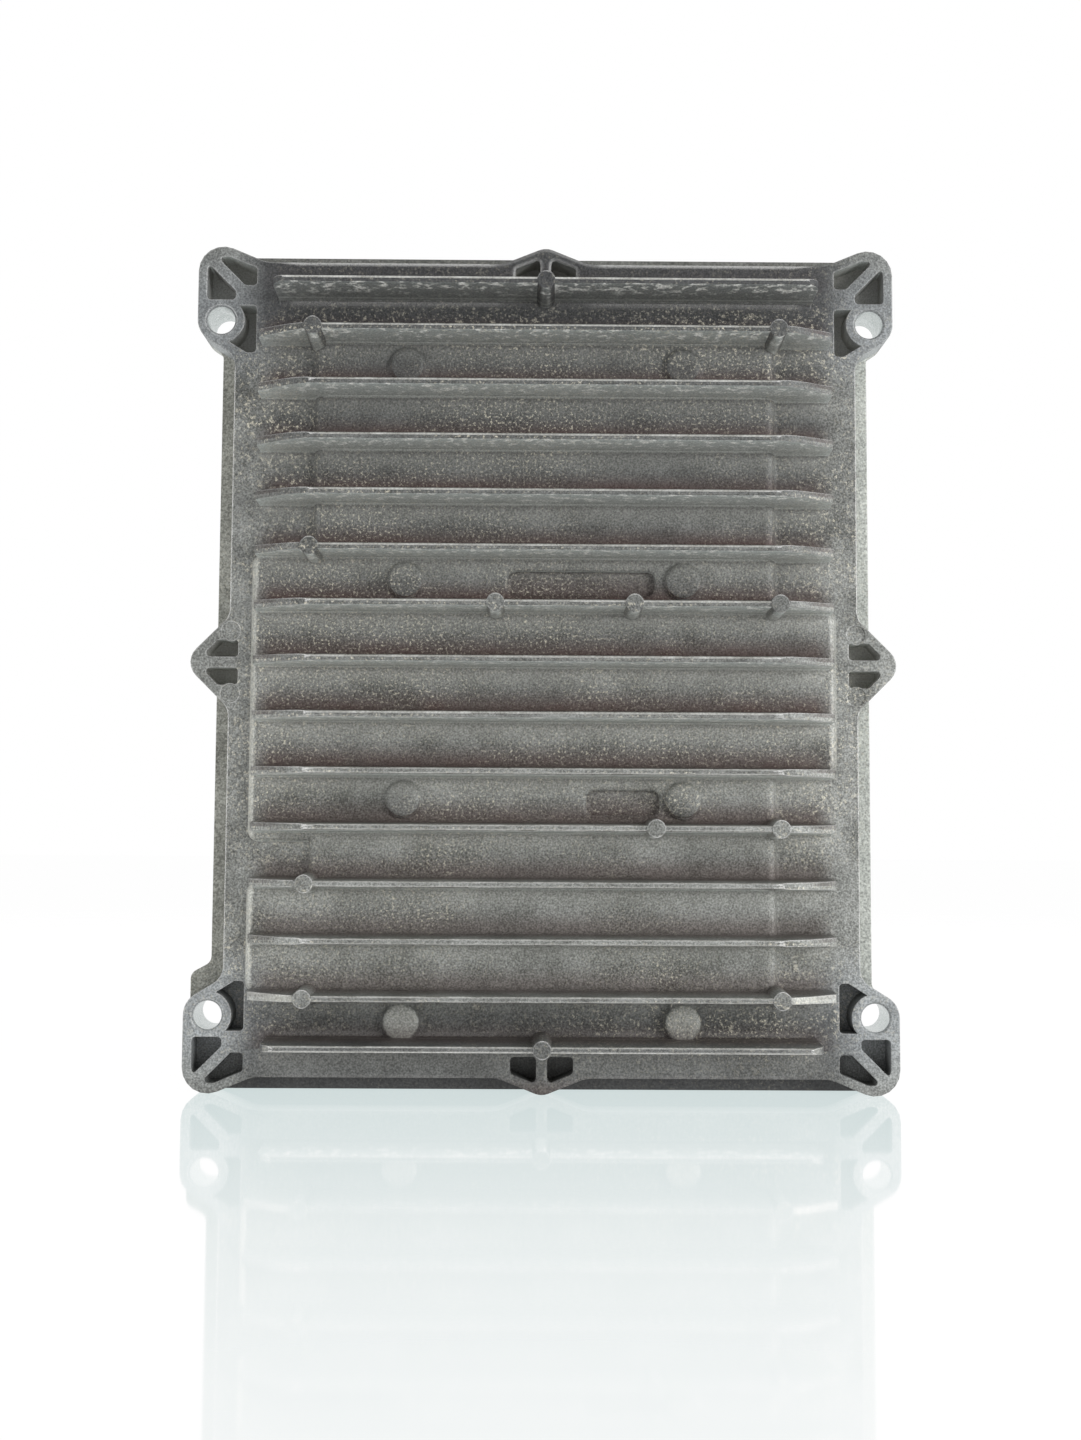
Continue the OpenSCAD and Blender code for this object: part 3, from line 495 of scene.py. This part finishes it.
    def flower_oxide(
        self, tree: Tree, spot: Spot, grain: Socket, specks: Socket, stains: Socket
    ) -> list[Coat]:
        """Roughens the tone and scatters oxide specks, fewer at the ends, on the ears and in the dirt.

        Args:
            tree: Node tree of the material.
            spot: Place and facing.
            grain: Finest noise.
            specks: Noise of the specks.
            stains: Noise of their clusters.

        Returns:
            The grain and the specks.
        """
        shade = join(tree, Ramp(grain, 0.32, 0.68, 0.66, 1.34))
        bloom = Ramp(specks, 0.54, 0.68, most=0.78)
        clusters = Ramp(stains, 0.4, 0.62, least=0.12)
        below_end = Ramp(spot.lift, 104 * MM, 114 * MM, least=1.0, most=0.25)
        off_ears = Ramp(spot.aside, 99 * MM, 93 * MM, least=0.45)
        unburied = Ramp(spot.above, 2 * MM, 6.5 * MM, least=0.35 if self.finned else 1.0)
        over_foot = Ramp(spot.axes[2], 9 * MM, 16 * MM, least=0.2)
        bloom = join(tree, bloom, clusters, below_end, off_ears, unburied, over_foot)
        return [Coat(1.0, shade, Blend.SHADE), Coat(bloom, linear(self.oxide))]

    def paint_light_and_washer_seats(self, tree: Tree, spot: Spot, patches: Socket) -> list[Coat]:
        """Paints light on the valleys, the field's sides, the fin ends and the bumps, and lightens the
        washer seats.

        Args:
            tree: Node tree of the material.
            spot: Place and facing.
            patches: Noise that breaks the washer seats up.

        Returns:
            Painted light on the valleys, slopes and bumps, and paler washer seats round the mounting holes.
        """
        layout = self.layout
        half_rise = (layout.front_y - layout.field_y) / 2
        raised, proud = (
            add_node(
                tree, "ShaderNodeMath", {0: spot.axes[1], 1: middle, 2: reach}, operation="COMPARE"
            ).outputs[0]
            for middle, reach in ((layout.field_y + half_rise, half_rise), (layout.field_y, 0.6 * MM))
        )
        turned = add_node(tree, "ShaderNodeMath", {0: spot.facing[0]}, operation="ABSOLUTE").outputs[0]
        # Painted light on the upper part of each valley, under the fin above, more of it higher up.
        under_fin = Ramp(spot.above, 7 * MM, 14.5 * MM, most=0.55, curve=Curve.EASED)
        inner = Ramp(spot.axes[1], layout.crest_y + 1 * MM, layout.bump_y)
        between = Ramp(spot.aside, *layout.fin_slope)
        higher = Ramp(spot.lift, -90 * MM, -10 * MM, least=0.5)
        valleys = join(tree, under_fin, inner, between, higher)

        # Painted light on the outer sides of the raised field, stronger on the left.
        sideways = Ramp(turned, 0.1, 0.5, most=0.9)
        beside = Ramp(spot.aside, 80 * MM, 86 * MM, least=0.15)
        to_left = Ramp(spot.axes[0], -80 * MM, 80 * MM, least=1.0, most=0.45)
        field_sides = join(tree, sideways, raised, beside, to_left)

        # Painted light on the sloped front of the lowest fins' ends.
        sloped = Ramp(turned, 0.1, 0.25)
        ahead = Ramp(spot.facing[1], -0.6, -0.8)
        on_fin = Ramp(spot.axes[1], layout.bump_y, layout.bump_y - 2 * MM)
        lowest_fins = Ramp(spot.lift, -88 * MM, -94 * MM, most=0.9)
        fin_ends = join(tree, sloped, ahead, on_fin, lowest_fins)

        # Painted light on the bumps of the lowest strip.
        lowest_strip = Ramp(spot.lift, -100 * MM, -102 * MM, most=0.45)
        level = Ramp(spot.facing[1], -0.6, -0.9)
        bumps = join(tree, proud, lowest_strip, level)
        painted_light = join(tree, valleys, field_sides, fin_ends, bumps, how=Join.ANY)

        radius = add_node(
            tree, "ShaderNodeVectorMath", {0: spot.quarter, 1: (*layout.hole_reach, 0.0)},
            operation="DISTANCE",
        ).outputs["Value"]
        seat = Ramp(radius, 7.4 * MM, 6 * MM)
        broken = Ramp(patches, 0.42, 0.62, most=0.6)
        round_seat = Ramp(radius, 24 * MM, 9 * MM, most=0.35)
        paler = join(tree, join(tree, seat, broken), round_seat, how=Join.ANY)
        return [Coat(painted_light, linear(self.painted_light_pale)), Coat(paler, linear(self.paler))]

    def lay_grime_and_shade(self, tree: Tree, spot: Spot, patches: Socket) -> list[Coat]:
        """Lays brown dirt with painted shade on top of each fin and in the hollows, painted shade higher
        up, and grey at the ends.

        Args:
            tree: Node tree of the material.
            spot: Place and facing.
            patches: Noise that breaks the dirt up.

        Returns:
            Painted shade that thickens upwards, darker grey at both ends, and the dirt with its painted
            shade.
        """
        layout = self.layout
        level = add_node(
            tree, "ShaderNodeMath", {0: spot.facing[1], 1: -0.8}, operation="LESS_THAN"
        ).outputs[0]
        bump, dome, hollow = (
            add_node(
                tree, "ShaderNodeMath", {0: spot.axes[1], 1: middle, 2: reach}, operation="COMPARE"
            ).outputs[0]
            for middle, reach in (
                (layout.bump_y, 0.4 * MM), (layout.field_y, 0.6 * MM), (layout.hollow_y, 0.3 * MM)
            )
        )
        # Brown dirt and painted shade on the valley floor just above each fin.
        over_fin = Ramp(spot.above, 10 * MM, 2.5 * MM, most=0.88, curve=Curve.EASED)
        inner = Ramp(spot.axes[1], layout.crest_y + 2 * MM, layout.field_y - 4 * MM)
        between = Ramp(spot.aside, *layout.fin_slope)
        spared_bumps = Ramp(join(tree, bump, level), 0.0, 1.0, least=1.0, most=0.3)
        higher = Ramp(spot.lift, -90 * MM, -10 * MM, least=0.65)
        below_end = Ramp(spot.lift, 110 * MM, 102 * MM, least=0.15)
        fin_tops = join(tree, over_fin, inner, between, spared_bumps, higher, below_end)

        # Dirt and painted shade in the hollows of the field.
        central = Ramp(spot.aside, 44 * MM, 40 * MM, most=0.8)
        settled = Ramp(spot.above, 10 * MM, 4 * MM, least=0.35)
        hollows = join(tree, hollow, level, central, settled)
        broken = Ramp(patches, 0.3, 0.6, least=0.6)
        dirt_and_shade = join(tree, join(tree, fin_tops, hollows, how=Join.ANY), broken)

        # Darker grey at both ends, less of it on the undersides.
        head, tail = (
            Ramp(spot.lift, side * 94 * MM, side * 106 * MM, most=most)
            for side, most in ((1, 0.78), (-1, 0.6))
        )
        off_ears = Ramp(spot.aside, 96 * MM, 86 * MM)
        spared_domes = Ramp(dome, 0.0, 1.0, least=1.0, most=0.35)
        less_on_undersides = Ramp(spot.facing[2], -0.96, -0.75, least=0.685)
        ends = join(tree, join(tree, head, tail, how=Join.ANY), off_ears, spared_domes, less_on_undersides)

        # Painted shade, darker towards the top and lighter on the undersides.
        upwards = Ramp(spot.lift, -80 * MM, 75 * MM, most=0.66)
        amid = Ramp(spot.aside, *layout.fin_slope, least=0.4)
        paler = Ramp(spot.facing[2], -0.96, -0.75, least=0.3)
        climb = join(tree, upwards, amid, paler)
        dark_grey = linear(self.dark_grey)
        return [Coat(climb, dark_grey), Coat(ends, dark_grey), Coat(dirt_and_shade, linear(self.grime_and_shade))]

    def paint_light_on_edges(self, tree: Tree, spot: Spot) -> list[Coat]:
        """Paints light on the right edge and paints shade on the lowest and the uppermost one, all from the
        front.

        Args:
            tree: Node tree of the material.
            spot: Place and facing.

        Returns:
            The painted light on the right edge and the painted shade on the other two.
        """
        across, _, height = spot.axes
        ahead = join(tree, Ramp(spot.facing[1], 0.1, -0.4))
        # Painted light on the right edge, painted shade along the lowest and the uppermost one.
        right = Ramp(across, 80 * MM, 92 * MM, most=0.3)
        lowest = Ramp(height, 12 * MM, 8 * MM, most=0.93)
        uppermost = Ramp(height, 247 * MM, 251 * MM, most=0.6)
        return [
            Coat(join(tree, edge, ahead), linear(tone))
            for edge, tone in ((right, self.painted_light_cool), (lowest, self.dark_grey), (uppermost, self.dark_grey))
        ]

    def paint_pocket_shade(self, tree: Tree, spot: Spot, floor: Socket) -> list[Coat]:
        """Paints the deep pockets by how shut in they are: dark painted shade in the lowest, a pale painted
        tone in the others.

        Args:
            tree: Node tree of the material.
            spot: Place and facing.
            floor: Floor of the raised field, which stays free.

        Returns:
            The painted shade of the pockets.
        """
        free = add_node(
            tree, "ShaderNodeAmbientOcclusion", {"Distance": self.pocket}, samples=4
        ).outputs["AO"]
        # Painted shade where a pocket is shut in.
        shut_in = Ramp(free, 0.4, 0.1, most=0.6)
        off_floor = Ramp(floor, 0.0, 1.0, least=1.0, most=0.0)
        high = join(tree, Ramp(spot.axes[2], 30 * MM, 90 * MM))
        pocket_tone = add_node(
            tree, "ShaderNodeMix", {0: high, 6: linear(self.low_pocket_shade), 7: linear(self.high_pocket_tone)}, data_type="RGBA"
        ).outputs[2]
        return [Coat(join(tree, shut_in, off_floor), pocket_tone)]

    def rubbed_and_highlit_edges(self, tree: Tree, spot: Spot, grain: Socket, rounded: Socket) -> Socket:
        """Finds the outward edges of the fins and of the outline, rubbed bare and painted with highlights.

        Args:
            tree: Node tree of the material.
            spot: Place and facing.
            grain: Noise that breaks the bare metal up.
            rounded: Normal with softened edges.

        Returns:
            How much bare metal and painted highlight an edge shows.
        """
        across, depth, height = spot.axes
        field_y, front_y = self.layout.field_y, self.layout.front_y
        flat = add_node(tree, "ShaderNodeNewGeometry").outputs["True Normal"]
        match = add_node(
            tree, "ShaderNodeVectorMath", {0: rounded, 1: flat}, operation="DOT_PRODUCT"
        ).outputs["Value"]
        free = add_node(
            tree, "ShaderNodeAmbientOcclusion", {"Distance": 2 * self.edge}, samples=4
        ).outputs["AO"]
        tilt = add_node(tree, "ShaderNodeSeparateXYZ", {0: rounded}).outputs
        turned = add_node(tree, "ShaderNodeMath", {0: tilt[0]}, operation="ABSOLUTE").outputs[0]
        on_fin = Ramp(depth, field_y - 2.2 * MM, field_y - 3 * MM)
        # Painted highlight along the top edge of the crests, along both edges on the lower half.
        topside = Ramp(tilt[2], -0.1, 0.2)
        lower_half = Ramp(spot.lift, 0.0, -40 * MM, least=0.1)
        lengthwise = Ramp(turned, 0.1, 0.4, least=1.0, most=0.25)
        fins = join(tree, on_fin, join(tree, topside, lower_half, how=Join.ANY), lengthwise)

        front = add_node(
            tree, "ShaderNodeMath", {0: depth, 1: front_y, 2: 1.2 * self.edge}, operation="COMPARE"
        ).outputs[0]
        over_foot = Ramp(height, 12 * MM, 24 * MM, least=0.15)
        # The rubbed edges and their painted highlights are fainter on the right.
        to_left = Ramp(across, 80 * MM, 92 * MM, least=1.0, most=0.5)
        outline = join(tree, front, self.clear_of_ears(tree, spot), over_foot, to_left)

        bent = Ramp(match, 0.995, 0.93)
        outward = Ramp(free, 0.8, 0.95)
        broken = Ramp(grain, 0.3, 0.5, least=0.6)
        return join(tree, bent, outward, join(tree, fins, outline, how=Join.ANY), broken)

    def clear_of_ears(self, tree: Tree, spot: Spot) -> Socket:
        """Marks the straight edges of the outline, which are rubbed more than the ears.

        Args:
            tree: Node tree of the material.
            spot: Place and facing.

        Returns:
            1 on the straight edges, less on the ears.
        """
        beside = Ramp(spot.aside, 86 * MM, 90 * MM)
        beyond = Ramp(spot.up, 109 * MM, 113 * MM)
        straight = join(tree, beside, beyond, how=Join.ANY)
        for across, up, reach in ((101, 113, 21), (103, 0, 13), (0, 121, 15)):
            radius = add_node(
                tree, "ShaderNodeVectorMath", {0: spot.quarter, 1: (across * MM, up * MM, 0.0)},
                operation="DISTANCE",
            ).outputs["Value"]
            outside = Ramp(radius, reach * MM, (reach + 3) * MM, least=0.4)
            straight = join(tree, straight, outside)
        return straight


# Die-cast skin, dulled and stained: grey with pale specks and brown dirt on top of the fins, with painted
# light and shade.
HOUSING_CAST = WeatheredCast("die_cast_aluminium_weathered")
# The cover's skin is the same alloy, less dirty because no fins hold the dirt; its edges carry painted
# light and shade.
COVER_CAST = WeatheredCast(
    "die_cast_aluminium_cover", metal="#a3a49d", metal_dark="#75766f", finned=False
)
# Fin crests rubbed bare by handling, with painted highlights: bright, slightly scratched metal.
RUBBED_AND_HIGHLIT_EDGE = GrainedFinish(
    "die_cast_aluminium_crest_abraded_highlighted", "#d0d1cd", "#989792", 0.85, 0.32, 0.7 * MM, 0.02 * MM, 6 * MM
)
# Drilled bores: bare aluminium with fine turning marks, the brightest metal on the unit.
DRILLED_BORE = GrainedFinish(
    "aluminium_drilled_bare", "#d9dedd", "#a4acaa", 1.0, 0.27, 0.5 * MM, 0.01 * MM, 5 * MM, 0.05 * MM
)
# Zinc-plated steel screws: cool grey, satin.
ZINC_STEEL = GrainedFinish(
    "steel_zinc_plated", "#c9ccce", "#8d9194", 1.0, 0.33, 0.6 * MM, 0.01 * MM, 4 * MM
)
# Glass-filled nylon of the sockets: black, faintly textured by the mould.
SOCKET_NYLON = GrainedFinish(
    "nylon_glass_filled_moulded", "#2a2a2b", "#1a1a1b", 0.0, 0.5, 0.6 * MM, 0.02 * MM, 12 * MM, ior=1.53
)
# Silicone bead: dark, soft sheen.
SEAL_SILICONE = GrainedFinish(
    "silicone_rubber_moulded", "#343537", "#232425", 0.0, 0.62, 0.8 * MM, 0.02 * MM, 8 * MM, ior=1.41
)
# Tin-plated brass pins: pale gold.
PIN_BRASS = GrainedFinish(
    "brass_drawn_plated", "#d8c48a", "#b89f62", 1.0, 0.3, 0.5 * MM, 0.008 * MM, 4 * MM
)
# Solder mask on glass-fibre laminate: green and glossy over the weave.
BOARD_LAMINATE = GrainedFinish(
    "glass_fibre_laminate_masked", "#2f6a43", "#1f4d30", 0.0, 0.32, 1.0 * MM, 0.01 * MM, 10 * MM, ior=1.55
)
# Epoxy moulding of the chips: charcoal, finely matt.
CHIP_EPOXY = GrainedFinish(
    "epoxy_moulded_chip", "#343436", "#242426", 0.0, 0.56, 0.5 * MM, 0.012 * MM, 6 * MM, ior=1.55
)
# Drawn aluminium cans: bright and even.
CAN_ALUMINIUM = GrainedFinish(
    "aluminium_deep_drawn", "#d2d4d6", "#a9acaf", 1.0, 0.28, 0.7 * MM, 0.006 * MM, 6 * MM
)
# Silicone heat pad: pale blue grey, dry.
HEAT_PAD = GrainedFinish(
    "silicone_heat_pad_filled", "#9fb0c0", "#8496a8", 0.0, 0.75, 0.7 * MM, 0.02 * MM, 5 * MM, ior=1.43
)
# Fired ceramic of the chip capacitors: tan, faintly glazed.
CAPACITOR_CERAMIC = GrainedFinish(
    "ceramic_fired_barium", "#c9a778", "#a4825a", 0.0, 0.4, 0.5 * MM, 0.006 * MM, 3 * MM, ior=1.6
)
# Stretched fluoropolymer membrane: white and dry.
VENT_FILM = GrainedFinish(
    "fluoropolymer_film_stretched", "#eeeeea", "#dcdcd6", 0.0, 0.7, 0.6 * MM, 0.01 * MM, 4 * MM, ior=1.38
)


def focus(piece: bpy.types.Object) -> None:
    """Makes the piece the only selected and the active object."""
    bpy.ops.object.select_all(action="DESELECT")
    piece.select_set(True)
    bpy.context.view_layer.objects.active = piece


def copy_node(node: str, name: str) -> bpy.types.Object:
    """Copies a CAD node as a new object with its own, merged mesh.

    Args:
        node: Name of the CAD node.
        name: Name of the new piece.

    Returns:
        The new piece.
    """
    piece = bpy.data.objects.new(name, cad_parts[node].data.copy())
    bpy.context.scene.collection.objects.link(piece)
    piece.data.materials.clear()
    focus(piece)
    bpy.ops.mesh.customdata_custom_splitnormals_clear()
    bpy.ops.object.mode_set(mode="EDIT")
    bpy.ops.mesh.select_all(action="SELECT")
    bpy.ops.mesh.remove_doubles(threshold=MERGE_WITHIN)
    bpy.ops.object.mode_set(mode="OBJECT")
    return piece


def smooth(piece: bpy.types.Object) -> None:
    """Smooths the roundings and keeps the flat faces flat."""
    focus(piece)
    bpy.ops.object.shade_smooth_by_angle(angle=SMOOTH_BELOW)
    weighted = piece.modifiers.new("flat_faces", "WEIGHTED_NORMAL")
    weighted.keep_sharp = True
    bpy.ops.object.modifier_apply(modifier=weighted.name)


def paint_faces(
    piece: bpy.types.Object, slot: int, belongs: Callable[[bpy.types.MeshPolygon], bool]
) -> None:
    """Gives a material slot to the faces that belong to it.

    Args:
        piece: Piece whose faces are painted.
        slot: Number of the material slot.
        belongs: Test of a face.
    """
    for face in piece.data.polygons:
        if belongs(face):
            face.material_index = slot


def settle(piece: bpy.types.Object, node: str) -> None:
    """Lets the piece stand for a CAD node, on the unit's one body.

    Args:
        piece: Finished piece.
        node: CAD node that it replaces.
    """
    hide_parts(node)
    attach(piece, BODY)
    LOG.info("%s: %d faces", piece.name, len(piece.data.polygons))


@dataclass
class HoledCasting:
    """A casting with the four mounting holes in its corner ears."""

    node: str
    name: str
    slot: str
    finish: Finish
    layout: CastLayout = CastLayout()
    hole_margin: float = 0.1 * MM
    bore_turn: float = 0.9

    def build(self) -> bpy.types.Object:
        """Smooths, paints and settles the casting.

        Returns:
            The finished piece.
        """
        piece = copy_node(self.node, self.name)
        for finish in (self.finish, DRILLED_BORE):
            piece.data.materials.append(finish.material())
        smooth(piece)
        paint_faces(piece, 1, self.is_bore)
        self.wear_and_highlight(piece)
        settle(piece, self.node)
        return piece

    def wear_and_highlight(self, piece: bpy.types.Object) -> None:
        """Leaves a plain casting as it is; castings with fins add their own wear and painted highlights."""

    def is_bore(self, face: bpy.types.MeshPolygon) -> bool:
        """Tells whether a face lies inside a mounting hole.

        Args:
            face: Face of the casting.

        Returns:
            True in the bore.
        """
        across = abs(face.center.x) - self.layout.hole_reach[0]
        up = abs(face.center.z - self.layout.middle_z) - self.layout.hole_reach[1]
        within = math.hypot(across, up) < self.layout.hole_radius + self.hole_margin
        return within and abs(face.normal.y) < self.bore_turn


@dataclass
class FinnedHousing(HoledCasting):
    """The die-cast housing with its fins, ears and mounting holes.

    least_lean is how far a face at least leans to count as rubbed and highlit, on the high and on the low
    fins.
    """

    crest_round: float = 0.8 * MM
    low_fins: float = 20 * MM
    least_lean: tuple[float, float] = (0.12, 0.45)
    most_lean: float = 0.97
    most_turn: float = 0.15

    def wear_and_highlight(self, piece: bpy.types.Object) -> None:
        """Rubs the crests of the fins bare and paints highlights along them.

        Args:
            piece: The housing.
        """
        piece.data.materials.append(RUBBED_AND_HIGHLIT_EDGE.material())
        paint_faces(piece, 2, self.is_crest_edge)

    def is_crest_edge(self, face: bpy.types.MeshPolygon) -> bool:
        """Tells whether a face is part of the rubbed rounding along a fin's crest, which carries a painted
        highlight.

        Args:
            face: Face of the housing.

        Returns:
            True on the upper rounding, and on the lower one of the low fins.
        """
        low = face.center.z <= self.layout.middle_z - self.low_fins
        lean = abs(face.normal.z) if low else face.normal.z
        outermost = face.center.y < self.layout.crest_y + self.crest_round
        along = outermost and abs(face.normal.x) < self.most_turn
        return along and self.least_lean[low] < lean < self.most_lean


@dataclass
class DressedCopy:
    """A rigid piece that keeps its CAD shape and gets smooth curves and a finish."""

    node: str
    name: str
    slot: str
    finish: Finish

    def build(self) -> bpy.types.Object:
        """Smooths, paints and settles the piece.

        Returns:
            The finished piece.
        """
        piece = copy_node(self.node, self.name)
        piece.data.materials.append(self.finish.material())
        smooth(piece)
        settle(piece, self.node)
        return piece


@dataclass
class Electronics:
    """The board and what sits on it, closed in by the castings."""

    finishes: dict[str, Finish] = field(default_factory=lambda: {
        "circuit_board": BOARD_LAMINATE,
        "processor": CHIP_EPOXY,
        "memory_chip": CHIP_EPOXY,
        "driver_chips": CHIP_EPOXY,
        "power_transistors": CHIP_EPOXY,
        "thermal_pads": HEAT_PAD,
        "capacitor_cans": CAN_ALUMINIUM,
        "choke_coils": CHIP_EPOXY,
        "quartz_crystal": CAN_ALUMINIUM,
        "pressure_sensor": CHIP_EPOXY,
        "chip_capacitors": CAPACITOR_CERAMIC,
        "chip_resistors": CHIP_EPOXY,
        "protection_diodes": CHIP_EPOXY,
        "board_screws": ZINC_STEEL,
        "cover_seal": SEAL_SILICONE,
        "engine_socket_seal": SEAL_SILICONE,
        "vehicle_socket_seal": SEAL_SILICONE,
        "vent_seal": SEAL_SILICONE,
        "vent_membrane": VENT_FILM,
        "engine_pins": PIN_BRASS,
        "vehicle_pins": PIN_BRASS,
    })

    def dress(self) -> None:
        """Gives each of these CAD nodes its finish."""
        for node, finish in self.finishes.items():
            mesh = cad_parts[node].data
            mesh.materials.clear()
            mesh.materials.append(finish.material())
            LOG.info("%s: %s", node, finish.name)


class Surround(Enum):
    """Brightness of the white cove as light and to the eye, and of the room behind the camera."""

    AMBIENT = 0.4
    SEEN = 1.0
    ROOM = 0.3


@dataclass(frozen=True)
class Lamp:
    """A square soft lamp; its size is the length of a side and its power is in watts."""

    name: str
    place: tuple[float, float, float]
    size: float
    power: float


@dataclass
class Studio:
    """White floor with a faint mirror image, soft lamps and the camera."""

    white: str = "#ffffff"
    floor_size: float = 6.0
    floor_tone: str = "#404040"
    floor_glow: float = 0.97
    mirror_reach: float = 1.0
    mirror_tint: tuple[float, float, float] = (1.06, 0.83, 0.83)
    mirror_ior: float = 1.4
    mirror_blur: float = 0.05
    lamps: tuple[Lamp, ...] = (
        Lamp("right_softbox", (0.75, -0.55, 0.25), 0.45, 7.5),
        Lamp("left_softbox", (-0.8, -0.6, 0.22), 0.4, 2.5),
    )
    lamp_aim: tuple[float, float, float] = (0.0, 0.0, 0.13)
    camera_place: tuple[float, float, float] = (-3.5 * MM, -464.9 * MM, 81.1 * MM)
    lens: float = 37.5
    sensor: float = 36.0
    nearest: float = 10 * MM
    yaw: float = math.radians(0.33)
    pitch: float = math.radians(3.9)
    roll: float = math.radians(0.32)

    def build(self) -> None:
        """Sets up floor, surroundings, lamps and camera."""
        self.lay_floor()
        self.light_surroundings()
        for lamp in self.lamps:
            self.hang_lamp(lamp)
        self.set_camera()
        bpy.context.scene.view_settings.view_transform = "Standard"

    def lay_floor(self) -> None:
        """Lays the white floor, which mirrors the object faintly and takes its shadow."""
        bpy.ops.object.select_all(action="DESELECT")
        bpy.ops.mesh.primitive_plane_add(size=self.floor_size)
        floor = bpy.context.object
        floor.name = "studio_floor"
        material = bpy.data.materials.new("acrylic_sheet_white_gloss")
        material.use_nodes = True
        tree = material.node_tree
        tree.nodes.clear()
        path = add_node(tree, "ShaderNodeLightPath")
        place = add_node(tree, "ShaderNodeTexCoord").outputs["Object"]
        away = add_node(tree, "ShaderNodeVectorMath", {0: place}, operation="LENGTH").outputs["Value"]
        mirror = add_node(tree, "ShaderNodeFresnel", {"IOR": self.mirror_ior}).outputs[0]
        mirror = join(tree, mirror, Ramp(away, self.mirror_reach, self.mirror_reach / 2))
        tint = add_node(
            tree, "ShaderNodeVectorMath", {0: self.mirror_tint, "Scale": mirror}, operation="SCALE"
        ).outputs[0]
        rest = add_node(
            tree, "ShaderNodeVectorMath", {0: (1.0, 1.0, 1.0), 1: tint}, operation="SUBTRACT"
        ).outputs[0]
        glow = add_node(tree, "ShaderNodeEmission", {"Color": rest, "Strength": self.floor_glow})
        matt = add_node(tree, "ShaderNodeBsdfDiffuse", {"Color": linear(self.floor_tone)})
        gloss = add_node(tree, "ShaderNodeBsdfGlossy", {"Color": tint, "Roughness": self.mirror_blur})
        seen = add_node(tree, "ShaderNodeAddShader", {0: glow.outputs[0], 1: matt.outputs[0]})
        seen = add_node(tree, "ShaderNodeAddShader", {0: seen.outputs[0], 1: gloss.outputs[0]})
        plain = add_node(tree, "ShaderNodeEmission", {"Color": linear(self.white), "Strength": 1.0})
        mix = add_node(
            tree, "ShaderNodeMixShader",
            {0: path.outputs["Is Camera Ray"], 1: plain.outputs[0], 2: seen.outputs[0]},
        )
        add_node(tree, "ShaderNodeOutputMaterial", {"Surface": mix.outputs[0]})
        floor.data.materials.append(material)

    def light_surroundings(self) -> None:
        """Makes the surroundings white to the eye and in reflections, and softer as light."""
        world = bpy.data.worlds.new("white_cove")
        world.use_nodes = True
        tree = world.node_tree
        tree.nodes.clear()
        path = add_node(tree, "ShaderNodeLightPath").outputs
        seen = join(tree, path["Is Camera Ray"], path["Is Transmission Ray"], how=Join.ANY)
        way = add_node(tree, "ShaderNodeTexCoord").outputs["Generated"]
        forward = add_node(tree, "ShaderNodeSeparateXYZ", {0: way}).outputs[1]
        room = join(tree, Ramp(forward, -0.75, -0.97, Surround.SEEN.value, Surround.ROOM.value))
        mirrored = add_node(
            tree, "ShaderNodeMix", {0: path["Is Glossy Ray"], 2: Surround.AMBIENT.value, 3: room}
        ).outputs[0]
        strength = add_node(
            tree, "ShaderNodeMix", {0: seen, 2: mirrored, 3: Surround.SEEN.value}
        ).outputs[0]
        glow = add_node(
            tree, "ShaderNodeBackground", {"Color": linear(self.white), "Strength": strength}
        )
        add_node(tree, "ShaderNodeOutputWorld", {"Surface": glow.outputs[0]})
        bpy.context.scene.world = world

    def hang_lamp(self, lamp: Lamp) -> None:
        """Hangs a lamp that points at the middle of the unit.

        Args:
            lamp: The lamp.
        """
        light = bpy.data.lights.new(lamp.name, "AREA")
        light.size = lamp.size
        light.energy = lamp.power
        holder = bpy.data.objects.new(lamp.name, light)
        bpy.context.scene.collection.objects.link(holder)
        holder.location = lamp.place
        aim = Vector(self.lamp_aim) - Vector(lamp.place)
        holder.rotation_euler = aim.to_track_quat("-Z", "Y").to_euler()

    def set_camera(self) -> None:
        """Puts the camera where the photograph was taken."""
        lens = bpy.data.cameras.new("product_camera")
        lens.lens = self.lens
        lens.sensor_width = self.sensor
        lens.clip_start = self.nearest
        camera = bpy.data.objects.new("product_camera", lens)
        bpy.context.scene.collection.objects.link(camera)
        forward = Vector((
            math.sin(self.yaw) * math.cos(self.pitch),
            math.cos(self.yaw) * math.cos(self.pitch),
            math.sin(self.pitch),
        ))
        level = Vector((math.cos(self.yaw), -math.sin(self.yaw), 0.0))
        upright = level.cross(forward)
        right = math.cos(self.roll) * level + math.sin(self.roll) * upright
        up = math.cos(self.roll) * upright - math.sin(self.roll) * level
        turn = Matrix((right, up, -forward)).transposed().to_4x4()
        camera.matrix_world = Matrix.Translation(self.camera_place) @ turn
        bpy.context.scene.camera = camera


def main() -> None:
    """Builds the unit piece by piece, then its studio."""
    logging.basicConfig(level=logging.INFO, format="%(name)s %(message)s")
    for piece in (
        FinnedHousing("finned_housing", "housing_casting", "cast_aluminium", HOUSING_CAST),
        HoledCasting("rear_cover", "cover_casting", "cover_aluminium", COVER_CAST),
        DressedCopy("engine_socket", "engine_plug_socket", "socket_plastic", SOCKET_NYLON),
        DressedCopy("vehicle_socket", "vehicle_plug_socket", "socket_plastic", SOCKET_NYLON),
        DressedCopy("vent_plug", "vent_cap", "socket_plastic", SOCKET_NYLON),
        DressedCopy("cover_screws", "cover_screw_set", "screw_steel", ZINC_STEEL),
        DressedCopy("engine_socket_screws", "engine_socket_screw_set", "screw_steel", ZINC_STEEL),
        DressedCopy("vehicle_socket_screws", "vehicle_socket_screw_set", "screw_steel", ZINC_STEEL),
    ):
        piece.build()
    Electronics().dress()
    Studio().build()


if __name__ == "__main__":
    main()
